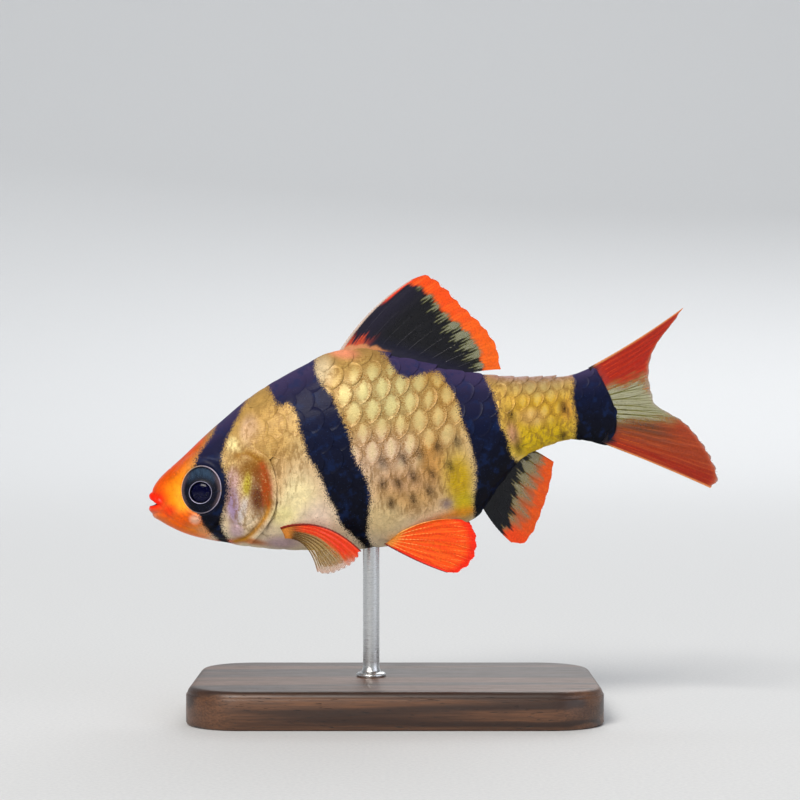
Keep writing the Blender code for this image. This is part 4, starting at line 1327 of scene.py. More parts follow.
def read(mesh, name, width=1):
    values = np.empty(len(mesh.vertices) * width, np.float32)
    mesh.attributes[name].data.foreach_get("vector" if width == 3 else "value", values)
    return values.reshape(-1, width) if width > 1 else values


def lay_scales(seed):
    plan = bpy.data.meshes.new("plan")
    plan.from_pydata(roots.tolist(), [], [])
    at = roots[:, 0]
    halves = [SCALE_HALF_LENGTH * ALONG_PITCH(at), SCALE_HALF_HEIGHT * ROW_PITCH(at), 0 * at + 1]
    store(plan, "size", np.column_stack(halves))
    store(plan, "root", roots)
    values = {"Plate": plate, "Turn": SCALE_TURN, "Seed": seed, "Finish": scale_skin}
    return grown("plan", plan, scale_tree(), values)


flat_scales = lay_scales(3)
print("the laid scales have", len(flat_scales.polygons), "faces")

# %% [markdown]
# ### Rolling the plan onto each flank
#
# A modifier would bend the plan only roughly, so the body's formula places each point. Each plate has its
# own small patch in the OFBake map, at its root's place on the skin's unwrap and just smaller than its
# share of the row, so no two patches cross.

# %% The two coats of scales
PATCH_SHARE = 0.47
PLAN_REACH = (9, 51.6)
SINK = 0.045
OWN_LIFT = 0.015
LEAST_RAISED = 0.4


def polygons_by_size(mesh):
    """The faces of a mesh as one array for each number of corners."""
    corners = np.array([len(p.vertices) for p in mesh.polygons])
    loops = np.empty(len(mesh.loops), int)
    mesh.loops.foreach_get("vertex_index", loops)
    starts = np.concatenate([[0], np.cumsum(corners)])[:-1]
    return [loops[starts[corners == size][:, None] + np.arange(size)] for size in np.unique(corners)]


def roll_scales(name, flat, side):
    place, lie, root = (read(flat, key, 3).astype(float) for key in ("position", "lie", "root"))
    own = read(flat, "own")
    x = np.clip(place[:, 0], *PLAN_REACH)
    angle = roll_angle(x, place[:, 1])
    root_angle = roll_angle(root[:, 0], root[:, 1])
    if side > 0:
        angle, root_angle = math.pi - angle, math.pi - root_angle
    # Plates lie flatter on the nape and the belly, where their edges hardly show
    raised = LEAST_RAISED + (1 - LEAST_RAISED) * ramp(root[:, 0], 16, 20) * ramp(root[:, 1], -7, -1)
    lift = raised * place[:, 2] - SINK + OWN_LIFT * (own - 0.5)
    points = on_body(x, angle) + out_of_body(x, angle) * lift[:, None]
    # The unwrap of the skin: round it one way, along it the other
    around = (root_angle + math.pi / 2) / (2 * math.pi)
    along = root[:, 0] / MAP_LENGTH
    girth = np.interp(root[:, 0], PLAN_X, 2 * (plan_high - plan_low))
    patch_u = PATCH_SHARE * ROW_PITCH(root[:, 0]) / girth * (-1 if side > 0 else 1)
    patch_v = 0.5 * PATCH_SHARE * ALONG_PITCH(root[:, 0]) / MAP_LENGTH
    uv = np.column_stack([around + patch_u * lie[:, 1], along + patch_v * lie[:, 0]])
    marks = {**paint(points[:, 0], points[:, 2]), "lie": lie, "own": own}
    faces = polygons_by_size(flat)
    corners = [uv[group] for group in faces]
    solids = ["trunk", "tail_stem"]
    return make_piece(name, posed(points), faces, scale_skin, solids, marks, corners)


scales_left = roll_scales("scales_left", flat_scales, -1)
scales_right = roll_scales("scales_right", lay_scales(11), 1)
bpy.data.objects.remove(plate)

# %% [markdown]
# ## Fins
#
# A fin is a fan of bony rays that fork towards the edge, with a clear membrane between them. Each ray is a
# quadratic curve from the root line to the edge, as in the cast. A place on a fin is then two shares, one
# across the fan and one out along the ray, and film, rays and paint all use them.

# %% The fan of a fin
FAN_SAMPLES = 481


class Fan:
    """Chart points of a fin from the share across its fan and the share along its rays."""

    def __init__(self, roots, edge, bows, rays, mirror=False):
        lines = [through(line, FAN_SAMPLES) for line in (roots, edge)]
        # A line given as (X, Z) lies in the middle plane
        self.start, self.stop = (np.insert(p, 1, 0, axis=1) if p.shape[1] == 2 else p for p in lines)
        self.bows = np.array(bows, float)
        self.rays = rays
        self.mirror = mirror

    def ends(self, across):
        found = []
        for table in (self.start, self.stop, self.bows):
            at = np.linspace(0, 1, len(table))
            found.append(np.stack([np.interp(across, at, table[:, k]) for k in range(3)], -1))
        return found

    def length(self, across):
        start, stop, _ = self.ends(across)
        return np.linalg.norm(stop - start, axis=-1)

    def place(self, across, share):
        across, share = np.broadcast_arrays(np.asarray(across, float), share)
        start, stop, bow = self.ends(across)
        control = (start + stop) / 2 + bow
        t = share[..., None]
        return (1 - t) ** 2 * start + 2 * t * (1 - t) * control + t * t * stop

    def outward(self, across, share, step=0.01):
        after, before = np.clip(across + step, 0, 1), np.clip(across - step, 0, 1)
        fan_way = self.place(after, share) - self.place(before, share)
        ray_way = self.place(across, share + step) - self.place(across, share - step)
        return unit(np.cross(fan_way, ray_way))

    def finished(self, points):
        return posed(points * [1, -1, 1] if self.mirror else points)


print("a fan needs a root line, an edge line and its bows")

# %% [markdown]
# ### The seven fins' own lines
#
# Each fin needs the line where it leaves the body, the line of its edge, and how far its rays bow. The feet
# of the dorsal, anal and tail fins are sunk into the flesh. The paired fins stand on the skin, so their
# roots come from the body's own formula.

# %% The seven fins' own lines
DORSAL_ROOT = (20.9, 33.7)
ANAL_ROOT = (36.5, 41.6)
FIN_SINK = 0.6
ROOT_POINTS = 6
FLESH_TO_PAIRED_FIN = 0.1
PECTORAL_ROOT = [(14.75, 2.3), (15.05, 1.75), (15.2, 1.25)]
PELVIC_ROOT = [(25.9, -1.2), (26.5, -1.55), (27.1, -1.9)]
DORSAL_EDGE = [
    (28.9, 29.2), (29.8, 29.6), (30.7, 29.6), (31.5, 29.1), (32.6, 28.1), (34.2, 26.4), (36.4, 24.3),
    (38, 22), (38.5, 19.4),
]
ANAL_EDGE = [(39.7, 0.55), (40.9, 0.4), (41.9, 1.4), (42.8, 3.4), (43.5, 5.4), (44, 7.3), (44.3, 9.3)]
TAIL_EDGE = [
    (58.85, 26.2), (58.1, 25.1), (57.2, 24), (56.3, 22.9), (55.5, 21.6), (55, 20.2), (54.9, 18.5),
    (55.2, 16.9), (55.6, 15.6), (57, 14.7), (58.7, 13.7), (60.1, 12.3), (61.2, 10.8), (62, 9.3),
    (62.5, 8), (62.4, 6.9), (61.6, 6.4),
]
PECTORAL_EDGE = [
    (23.4, -6, 0), (22.8, -5.9, -1), (21.8, -5.6, -1.75), (20.6, -5.2, -2.3), (19.5, -4.8, -2.5),
    (18.7, -4.4, -2.3),
]
PELVIC_EDGE = [
    (32.6, -2.7, -2.5), (33.7, -2.8, -2.5), (34.9, -2.9, -1.7), (35.6, -3, -0.6), (35.8, -3.1, 0.7),
    (35.6, -3.1, 1.9), (35, -3.1, 2.8), (34.1, -3.1, 3.2),
]


def on_tail_stem(place):
    """Whether a place lies on the body, clear of its two edges."""
    x, z = place
    return belly_line(x) + 0.3 < z < back_line(x) - 0.2


def underside(x, y):
    """Height of the belly at a place seen from below."""
    share = min(abs(y) / float(half_width(x)), 1) ** (1 / float(belly_keel(x)))
    middle = float(widest_height(x))
    return middle - math.sqrt(1 - share**2) * (middle - float(belly_line(x)))


dorsal_root = [(x, float(back_line(x)) - FIN_SINK) for x in np.linspace(*DORSAL_ROOT, ROOT_POINTS)]
anal_root = [(x + 0.12, float(belly_line(x)) + FIN_SINK) for x in np.linspace(*ANAL_ROOT, ROOT_POINTS)]
tail_root = [(x - FIN_SINK, z) for x, z in through(TAIL_FIN_ROOT, 25) if on_tail_stem((x, z))]
chest = [(x, -float(flank(x, z)) + FLESH_TO_PAIRED_FIN, z) for x, z in PECTORAL_ROOT]
belly = [(x, y, underside(x, y) + FLESH_TO_PAIRED_FIN) for x, y in PELVIC_ROOT]
fans = {
    "dorsal_fin": Fan(dorsal_root, DORSAL_EDGE, [(-1, 0, 1), (0, 0, 0.25)], 11),
    "anal_fin": Fan(anal_root, ANAL_EDGE, [(-0.3, 0, -0.4), (0.2, 0, 0)], 8),
    "tail_fin": Fan(tail_root, TAIL_EDGE, [(0.2, 0, -0.35), (0, 0, 0), (-0.2, 0, 0.3)], 19),
}
for label, mirror in (("left", False), ("right", True)):
    bows = [(0.3, -0.2, 2.7), (0.9, -0.4, 1.9)]
    fans["pectoral_fin_" + label] = Fan(chest, PECTORAL_EDGE, bows, 10, mirror)
    bows = [(0.2, -0.4, -0.5), (-0.2, -1.1, 1.3)]
    fans["pelvic_fin_" + label] = Fan(belly, PELVIC_EDGE, bows, 8, mirror)
print(len(fans), "fins; the front dorsal ray is", fans["dorsal_fin"].length(0).round(1), "mm")

# %% [markdown]
# ### Colours of the fins
#
# Fin colour follows the fin, so it is painted in the fan's own shares: black climbs a certain way up each
# ray and ends in feathered points, and red lies in an even band along the edge. Each layer is a mask with a
# colour and a cover, where 0 is clear and 1 hides what is behind.

# %% Layers of fin paint


def layers(ray, grounds, passes):
    """Colour and cover of points from a ground and (mask, colour, cover) passes over it. The ground
    is given for the film and for the rays, and so is a colour that differs between them."""
    code, cover = grounds[ray]
    count = len(passes[0][0])
    colour = np.repeat(linear(code)[None, :], count, axis=0)
    clear = np.full(count, cover)
    for mask, code, share in passes:
        code = code if isinstance(code, str) else code[ray]
        mask = np.clip(mask, 0, 1)
        colour += (linear(code) - colour) * mask[:, None]
        clear += (share - clear) * mask
    return colour, clear


def fin_place(fan, across, share, seed, streaks=(140, 3), roughs=(30, 5)):
    """Length of the rays, distances from root and edge, and a rough and a streaky noise."""
    length = fan.length(across)
    rough = wander(across, share, seed, *roughs)
    return length, share * length, (1 - share) * length, rough, wander(across, share, seed + 1, *streaks)


def wander(across, share, seed, across_scale=30, along_scale=5):
    """A cheap smooth noise from -1 to 1 that is long along the rays and short across them."""
    draw = np.random.default_rng(seed)
    total = np.zeros_like(across)
    for octave in (1, 2.1, 4.3):
        phase = draw.uniform(0, 2 * math.pi, 4)
        sway = 2.3 * np.sin(share * along_scale * octave + phase[1])
        one = np.sin(across * across_scale * octave + phase[0] + sway)
        sway = 1.7 * np.sin(across * across_scale * 0.6 * octave + phase[3])
        two = np.sin(share * along_scale * octave * 1.7 + phase[2] + sway)
        total += one * two / octave
    return np.clip(total / 1.2, -1, 1)


def on_ray(fan, across, width):
    return near((across * (fan.rays - 1) + 0.5) % 1.0 - 0.5, width)


def on_branch(fan, across, width=0.22):
    """1 on the four branches that a ray has near the edge."""
    return near((across * (fan.rays - 1) * 4) % 1.0 - 0.5, width)


sample = wander(np.linspace(0, 1, 99), np.zeros(99), 1)
print("the noise reaches", sample.max().round(1))

# %% [markdown]
# ### Paint of the dorsal and the anal fin
#
# Both are black over most of their rays. In the dorsal fin the black climbs nearly to the front tip and
# ends lower behind, and a clear olive strip parts it from the orange-red edge. The rays are a shade lighter
# than the film.

# %% Dorsal and anal paint
ACROSS_STATIONS = [0, 0.15, 0.35, 0.6, 0.8, 1]
BLACK_REACH = [0.92, 0.88, 0.76, 0.64, 0.56, 0.52]
ANAL_STATIONS = [0, 0.25, 0.5, 0.8, 1]
ANAL_BLACK_REACH = [0.68, 0.46, 0.28, 0.13, 0.03]


def dorsal_paint(fan, across, share, ray):
    length, from_root, from_edge, rough, streak = fin_place(fan, across, share, 5, (160, 3))
    reach = np.interp(across, ACROSS_STATIONS, BLACK_REACH) * length
    feather = on_ray(fan, across, 0.42) ** 2 + 1.3 * on_branch(fan, across) + 0.5 * streak + 0.3 * rough
    black = ramp(reach + feather - 0.8 - from_root, -0.3, 0.3)
    bright = ramp(wander(across, share, 44, 90, 30), 0.55, 0.8)
    glint = ray * bright * ramp(across, 0.4, 0.7) * ramp(share, 0.35, 0.5)
    edge_band = ramp(1.75 + 0.2 * rough + 0.15 * streak - from_edge, -0.35, 0.3)
    tip_strip = ramp(0.07 - across, 0, 0.03) * ramp(share, 0.55, 0.7)
    red_foot = ramp(2.3 + 0.9 * streak - from_root, 0, 0.9) * ramp(0.24 - across, 0, 0.14)
    sheath = ramp(1.0 + 0.3 * rough - from_root, -0.1, 0.3) * ramp(0.42 - across, 0, 0.12)
    lit = ramp(streak, 0.1, 0.9)
    passes = [
        (black, ("#05060e", "#0c0c18"), 0.98),
        (black * ramp(0.3 - across, 0, 0.2) * 0.6, "#1c1730", 0.98),
        (black * ramp(1.0 - from_root / 3, 0, 0.8) * 0.7, "#15142e", 0.98),
        (edge_band, ("#ee4a02", "#e04204"), 0.94),
        (edge_band * ramp(across, 0.3, 0.9) * 0.7, "#e86406", 0.92),
        (edge_band * lit * 0.4, "#ff7a1e", 0.94),
        (tip_strip, "#de3a12", 0.96),
        (0.85 * red_foot, "#cc4a26", 0.95),
        (0.95 * sheath, "#bd7c4c", 1),
        (0.6 * glint * ramp(from_edge, 1.2, 2), "#a9a476", 0.95),
        (ramp(0.012 - across, 0, 0.006), "#c9b3a6", 0.95),
    ]
    return layers(ray, [("#66652a", 0.62), ("#1d1c0e", 0.94)], passes)


def anal_paint(fan, across, share, ray):
    length, from_root, from_edge, rough, streak = fin_place(fan, across, share, 8, (130, 3))
    reach = np.interp(across, ANAL_STATIONS, ANAL_BLACK_REACH) * length
    feather = 0.6 * on_ray(fan, across, 0.4) ** 2 + 0.6 * on_branch(fan, across) + 0.4 * streak + 0.2 * rough
    black = ramp(reach + feather - 0.35 - from_root, -0.2, 0.25)
    edge_band = ramp(1.3 + 0.4 * rough + 0.3 * streak - from_edge, -0.45, 0.35)
    streaks = on_ray(fan, across, 0.36) * ramp(share, 0.3, 0.7)
    tip = ramp(0.3 - across, 0, 0.2) * ramp(share, 0.55, 0.72)
    passes = [
        (0.9 * streaks, "#b8481a", 0.85),
        (0.6 * on_branch(fan, across) * ramp(share, 0.4, 0.7), "#b0501c", 0.8),
        (edge_band, "#d24a06", 0.93),
        (edge_band * ramp(streak, 0.1, 0.9) * 0.4, "#e86c18", 0.93),
        (tip, "#de4008", 0.95),
        (black, "#04060d", 0.98),
    ]
    return layers(ray, [("#6e6222", 0.68), ("#6c3c1a", 0.88)], passes)


print("the dorsal black reaches", BLACK_REACH[0], "of the front ray")

# %% [markdown]
# ### Paint of the tail fin and the paired fins
#
# The tail fin is dark red along both lobes, browner below, with a clear olive wedge between them and a
# black foot. The pelvic fins are solid orange-red with lighter rays. The pectoral fins are clear and
# honey-coloured, red only along their front rays.

# %% Tail, pelvic and pectoral paint


def tail_paint(fan, across, share, ray):
    _, _, from_edge, rough, streak = fin_place(fan, across, share, 13, (260, 2.5), (40, 4))
    upper = ramp(0.36 + 0.03 * rough + 0.02 * streak + 0.08 * share - across, 0, 0.12)
    lower = ramp(across - (0.66 - 0.15 * share + 0.03 * rough + 0.02 * streak), 0, 0.16)
    brown = lower * ramp(0.9 - across, 0, 0.2) * ramp(0.85 - share, 0, 0.4)
    low_edge = ramp(across - 0.86, 0, 0.1)
    base = ramp(0.085 + 0.045 * streak + 0.02 * rough - share, -0.02, 0.05)
    whitish = ramp(0.26 - share, 0, 0.15) * (1 - upper) * (1 - lower)
    pale_edge = np.maximum(ramp(0.012 - across, 0, 0.006), ramp(across - 0.988, 0, 0.006))
    lit = ramp(streak, 0, 0.9)
    passes = [
        (upper, ("#a01c04", "#c83409"), 0.95),
        (upper * lit * 0.5, "#c4380a", 0.95),
        (lower, ("#923004", "#b04c18"), 0.9),
        (0.95 * brown, ("#5a3008", "#7c4014"), 0.84),
        (low_edge * 0.9, ("#8e1a02", "#b83610"), 0.95),
        (lower * lit * 0.35, "#c65a1e", 0.86),
        (ramp(0.9 - from_edge, 0, 0.9) * np.maximum(upper, lower) * 0.5, "#d2501a", 0.75),
        (0.5 * whitish * (0.2, 1)[ray], "#a8a070", 0.8),
        (pale_edge, "#d08048", 0.95),
        (0.5 * ramp(0.6 - from_edge, 0, 0.6) * (1 - pale_edge), "#8a5a2a", 0.35),
        (base, "#0a0a16", 0.98),
    ]
    fibres = 0.75 * on_branch(fan, across, 0.2) * ramp(share, 0.05, 0.3) * (not ray)
    passes.insert(0, (fibres, "#4a451c", 0.7))
    return layers(ray, [("#8f8a36", 0.5), ("#3a3718", 0.9)], passes)


def pelvic_paint(fan, across, share, ray):
    _, _, from_edge, rough, streak = fin_place(fan, across, share, 21)
    deep = np.maximum(ramp(1.5 - from_edge, 0, 1.1), ramp(0.16 - across, 0, 0.12))
    passes = [
        (0.6 * ramp(streak, 0, 0.9), "#ff7414", 0.94),
        (0.5 * ramp(-streak, 0.1, 0.9), "#dc2c02", 0.95),
        (deep, ("#ee2402", "#f83c0c"), 0.97),
        (ramp(0.16 - share, 0, 0.14), "#ee9438", 0.97),
        (0.3 * ramp(rough, 0.2, 0.9) * (1 - deep), "#ff7a20", 0.94),
        (ramp(0.02 - across, 0, 0.01), "#8c1606", 0.98),
    ]
    return layers(ray, [("#f84c04", 0.95), ("#ffb05a", 0.97)], passes)


def pectoral_paint(fan, across, share, ray):
    *_, rough, streak = fin_place(fan, across, share, 34, (120, 3))
    red = ramp(0.42 + 0.05 * rough + 0.04 * streak - across, -0.05, 0.16) * ramp(share, 0.05, 0.3)
    tip_clear = ramp(share, 0.86, 1) * ramp(across, 0.05, 0.3)
    passes = [
        (red, ("#dc2e04", "#e84a10"), 0.92),
        (red * 0.4 * ramp(streak, 0.1, 0.9), "#f06420", 0.92),
        (0.7 * tip_clear, "#c87840", 0.3),
        (ramp(0.2 - share, 0, 0.15), "#e8923a", 0.92),
        (ramp(0.02 - across, 0, 0.01), "#7c1c0a", 0.95),
    ]
    return layers(ray, [("#b08c44", 0.34), ("#5a3a16", 0.9)], passes)


fin_paints = {
    "dorsal": dorsal_paint,
    "anal": anal_paint,
    "tail": tail_paint,
    "pelvic": pelvic_paint,
    "pectoral": pectoral_paint,
}
print(len(fin_paints), "fin paints")

# %% [markdown]
# ### The fins' two finishes
#
# A fin's membrane is a wet film some hundredths of a millimetre thick, and its rays are bone under the same
# film. What is clear in the fin is clear here too: the stored cover is the material's opacity. Skin and
# bone refract at about 1.42, and a low gloss with a thin coat gives the wet shine.

# %% Fin finishes
FILM_IOR = 1.42
FILM_GRAIN_MM = 0.2


def fin_finish(name, bump_mm):
    """Wet fin skin, coloured and clear as its stored paint says. Its real grain is too fine to show,
    so it is drawn a fifth of a millimetre coarse."""
    material, put, where = new_finish(name)
    p = sources(put, where, ["pigment", "cover"], {"grain": (FILM_GRAIN_MM, 3, 0.55)})
    tone = put("MapRange", [p["grain"], 0.3, 0.7, 0.93, 1.06], **SMOOTH)
    uneven = put("MapRange", [p["grain"], 0.3, 0.7, -0.05, 0.05], **SMOOTH)
    inputs = {
        "Base Color": put("VectorMath", {0: p["pigment"], "Scale": tone}, operation="SCALE"),
        "Alpha": put("Math", [p["cover"], uneven], use_clamp=True, **PLUS),
        "Normal": put("Bump", {"Height": p["grain"], "Distance": bump_mm * MM}),
        "Roughness": 0.38,
        "IOR": FILM_IOR,
        "Specular IOR Level": 0.3,
        "Coat Weight": 0.08,
        "Coat Roughness": 0.12,
    }
    close_finish(put, inputs)
    return material


membrane_film = fin_finish("fin_membrane", 0.02)
ray_bone = fin_finish("fin_ray", 0.01)
print("film and rays have", len(ray_bone.node_tree.nodes), "nodes each")

# %% [markdown]
# ### Membranes
#
# The film could be one flat face, but it would have no back and no edge. Here it is a thin closed sheet on
# the fan's grid, thicker at the foot, where flesh runs up into it. It sags a little between the rays, and
# its edge is drawn in there.

# %% Membranes
COLUMNS_BETWEEN_RAYS = 12
ROWS_ALONG_RAY = 90
MEMBRANE_HALF = 0.06
MEMBRANE_EDGE_HALF = 0.025
SCALLOP = 0.02
RAGGED = 0.004
SAG = 0.05
FLESHY_BASE = {"dorsal": 0.4, "anal": 0.55, "tail": 0.5}
FLESH_REACH = 1.9


def make_membrane(name, fan):
    kind = name.split("_")[0]
    columns_here = COLUMNS_BETWEEN_RAYS * (fan.rays - 1) + 1
    across = np.linspace(0, 1, columns_here)[:, None]
    rows = np.linspace(0, 1, ROWS_ALONG_RAY)[None, :]
    phase = (across * (fan.rays - 1)) % 1.0
    draw_in = SCALLOP * np.sin(np.pi * phase) ** 2 * ramp(rows, 0.6, 1)
    torn = RAGGED * wander(across + 0 * rows, 0 * across + rows, 2, 90, 1) * ramp(rows, 0.85, 1)
    share = rows * (1 - draw_in) + torn
    across = np.broadcast_to(across, share.shape)
    outward = fan.outward(across, share)
    half = MEMBRANE_EDGE_HALF + (MEMBRANE_HALF - MEMBRANE_EDGE_HALF) * (1 - rows**2)
    flesh = FLESHY_BASE.get(kind, 0)
    half = half + flesh * np.clip(1 - share * fan.length(across) / FLESH_REACH, 0, 1) ** 2
    sag = SAG * np.sin(np.pi * phase) ** 2 * ramp(rows, 0.1, 0.6)
    middle = fan.place(across, share) + outward * sag[..., None]
    thick = outward * half[..., None]
    points = np.vstack([(middle + thick).reshape(-1, 3), (middle - thick).reshape(-1, 3)])
    count = share.size
    front = grid_faces(columns_here, ROWS_ALONG_RAY)
    back = front[:, ::-1] + count
    at = np.arange(count).reshape(share.shape)
    rim = np.concatenate([at[:-1, 0], at[-1, :-1], at[:0:-1, -1], at[0, :0:-1]])
    after = np.roll(rim, -1)
    edge = np.stack([rim, rim + count, after + count, after], -1)
    colour, cover = fin_paints[kind](fan, across.ravel(), share.ravel(), False)
    marks = {"pigment": np.vstack([colour, colour]), "cover": np.concatenate([cover, cover])}
    solids = STANDS_FOR.get(kind, [name])
    faces = [front, back, edge]
    make_piece(name + "_membrane", fan.finished(points), faces, membrane_film, solids, marks)


STANDS_FOR = {"tail": ["tail_fin_upper", "tail_fin_lower"]}
for name, fan in fans.items():
    make_membrane(name, fan)

# %% [markdown]
# ### Rays
#
# A soft ray starts as one rod of short bony joints, forks near its middle and forks again, so its tips
# spread like a brush. Each path becomes a line of points with its radius stored on it, and a Geometry Nodes
# tree sweeps a six-sided profile along it.

# %% The paths of the rays
RAY_STEP = 0.16
RAY_RADIUS = 0.125
TIP_RADIUS = 0.038
FORKS = {"tail": (0.22, 0.5)}
USUAL_FORKS = (0.42, 0.72)
SLENDER = {"pelvic": 0.75, "tail": 0.85}
JOINT_LENGTH = 0.42
JOINT_SWELL = 0.16
FIRST_SPREAD = 0.25
SECOND_SPREAD = 0.125
FEWEST_STEPS = 8


def ray_paths(fan, whole_rays, thick_first, forks, slender):
    """Every branch of every ray as (share across, shares along, radii)."""
    first_fork, second_fork = forks
    spacing = 1 / (fan.rays - 1)
    paths = []
    for ray in range(fan.rays):
        centre = ray * spacing
        length = float(fan.length(centre))
        shares = np.linspace(0, 1, max(int(length / RAY_STEP), FEWEST_STEPS))
        taper = slender * (RAY_RADIUS + (TIP_RADIUS - RAY_RADIUS) * shares**0.8)
        if ray < whole_rays:
            heavy = thick_first if ray == 0 else 1.0
            paths.append((np.full_like(shares, centre), shares, taper * heavy))
            continue
        edge_room = 0.5 if ray in (0, fan.rays - 1) else 1.0
        first_part, second_part = ramp(shares, first_fork, 0.95), ramp(shares, second_fork, 1)
        thin = 1 - 0.3 * ramp(shares, first_fork, first_fork + 0.2) - 0.25 * ramp(shares, second_fork, 0.9)
        # The two sides that a branch takes and where it starts: one runs on from the root
        branches = [(-1, -1, 0), (-1, 1, second_fork), (1, -1, first_fork), (1, 1, second_fork)]
        for first, second, start in branches:
            spread = first * FIRST_SPREAD * first_part + second * SECOND_SPREAD * second_part
            across = np.clip(centre + spread * spacing * edge_room, 0, 1)
            keep = shares >= start - 0.02
            paths.append((across[keep], shares[keep], (taper * thin)[keep]))
    return paths


def ray_lines(fan, *branching):
    """A mesh of loose edges along the rays, with radius and shares stored."""
    points, edges, stored = [], [], []
    for across, shares, radius in ray_paths(fan, *branching):
        travelled = shares * fan.length(across)
        joints = 1 + JOINT_SWELL * np.cos(2 * math.pi * travelled / JOINT_LENGTH)
        first = len(points)
        points += fan.place(across, shares).tolist()
        edges += [(k, k + 1) for k in range(first, len(points) - 1)]
        stored.append([radius * joints, across, shares])
    mesh = bpy.data.meshes.new("ray_lines")
    mesh.from_pydata(points, edges, [])
    for key, values in zip(("radius_mm", "across", "along"), np.concatenate(stored, axis=1)):
        store(mesh, key, values)
    return mesh


def ray_tree():
    tree, put, given = new_tree("sweep_rays", {"Sides": "Int", "Finish": "Material"})
    round_profile = {"Resolution": given["Sides"], "Radius": 1}
    inputs = {
        "Curve": put("GeometryNodeMeshToCurve", {"Mesh": given["Geometry"]}),
        "Profile Curve": put("GeometryNodeCurvePrimitiveCircle", round_profile),
        "Scale": put("GeometryNodeInputNamedAttribute", {"Name": "radius_mm"}, data_type="FLOAT"),
        "Fill Caps": True,
    }
    close_tree(put, put("GeometryNodeCurveToMesh", inputs), given["Finish"])
    return tree


print("rays fork at", USUAL_FORKS, "of their length")

# %% [markdown]
# ### Rays become pieces
#
# The front rays of a fin are whole and stout, and the others fork. The tree runs once for each fin, and
# each ray is painted from the two shares that it carries, so its colour meets that of the film.

# %% Rays become pieces
RAY_SIDES = 6
WHOLE_RAYS = {"dorsal": 2, "anal": 1, "tail": 1, "pectoral": 1, "pelvic": 1}
THICK_FIRST = {"dorsal": 1.7, "anal": 1.3, "tail": 1.5, "pectoral": 1.3, "pelvic": 1.3}
sweep = ray_tree()


def make_rays(name, fan):
    kind = name.split("_")[0]
    forks = FORKS.get(kind, USUAL_FORKS)
    lines = ray_lines(fan, WHOLE_RAYS[kind], THICK_FIRST[kind], forks, SLENDER.get(kind, 1))
    made = grown("rays", lines, sweep, {"Sides": RAY_SIDES, "Finish": ray_bone})
    across, along = (read(made, key).astype(float) for key in ("across", "along"))
    colour, cover = fin_paints[kind](fan, across, along, True)
    marks = {"pigment": colour, "cover": cover}
    points, faces = fan.finished(read(made, "position", 3)), polygons_by_size(made)
    make_piece(name + "_rays", points, faces, ray_bone, STANDS_FOR.get(kind, [name]), marks)


for name, fan in fans.items():
    make_rays(name, fan)

# %% [markdown]
# ## Turned and stacked shapes
#
# The layers of the eye, the pin and the block are all closed loops of points, one over the other, with a
# pole at each end. Blender's Screw or Spin could turn a profile too, but plain arrays leave no doubles to
# merge.

# %% Stacking loops


def circle(count):
    around = 2 * math.pi * np.arange(count) / count
    return around, np.stack([np.cos(around), np.sin(around)], -1)


def stacked(loops, heights, pole=(0, 0)):
    """Points and faces of a closed stack of loops. The first and last heights are the poles'."""
    rings = [np.column_stack([loop, np.full(len(loop), h)]) for loop, h in zip(loops, heights[1:-1])]
    points = np.vstack([[(*pole, heights[0])], *rings, [(*pole, heights[-1])]])
    count = len(loops[0])
    j = np.arange(count)
    k = (j + 1) % count
    last = 1 + (len(rings) - 1) * count
    foot = np.stack([0 * j, 1 + k, 1 + j], -1)
    top = np.stack([0 * j + len(points) - 1, last + j, last + k], -1)
    return points, [grid_faces(len(rings), count, wrap=True) + 1, np.vstack([foot, top])]


print("a circle of four points:", circle(4)[1].round().tolist())

# %% [markdown]
# ## Eyes
#
# A taxidermy eye is cast in layers: a painted iris with a hole for the pupil, a dark lens behind it, and a
# clear cornea over both. The parts are turned profiles, made slightly oval. The eye faces a little forward,
# so a pupil that looks round from the side is drawn lower than it is long.

# %% Profiles of the eye
EYE_SIDES = 72
DOME = 0.62
PUPIL = 0.52
PUPIL_DROP = 0.33
PUPIL_HEIGHT = 0.83
CORNEA_OVER_DOME = 0.01
# Profiles run from the back pole to the front one: distance from the axis in eye radii, and height
# over the seat in mm
IRIS_PROFILE = [
    (0, -0.7), (0.99, -0.7), (1, -0.3), (1, -0.04), (0.985, 0.03), (0.955, 0.06), (0.925, 0.05),
    *[(r, 0.04 + 0.20 * (0.92 - r) / 0.35) for r in np.linspace(0.9, 0.62, 8)],
    (0.59, 0.24), (0.572, 0.262), (0.555, 0.265), (0.54, 0.255), (PUPIL, 0.22), (0.5, 0.12),
    (0.49, 0), (0, -0.02),
]
LENS_RADIUS = 0.49
LENS_HEIGHT = 0.26
LENS_PROFILE = [
    (0, -0.3), (0.42, -0.3),
    *[(LENS_RADIUS * math.sin(a), LENS_HEIGHT * math.cos(a)) for a in np.linspace(1.75, 0.12, 12)],
    (0, LENS_HEIGHT),
]


def cornea_height(out):
    return float(DOME * np.maximum(1 - out**2, 0) ** 0.8) + CORNEA_OVER_DOME


CORNEA_RADII = (0.965, 0.95, 0.93, 0.9, 0.86, 0.8, 0.72, 0.62, 0.5, 0.36, 0.2, 0.08)
CORNEA_PROFILE = [
    (0, 0), (0.5, 0), (0.9, -0.02),
    *[(r, cornea_height(r)) for r in CORNEA_RADII],
    (0, DOME + CORNEA_OVER_DOME),
]


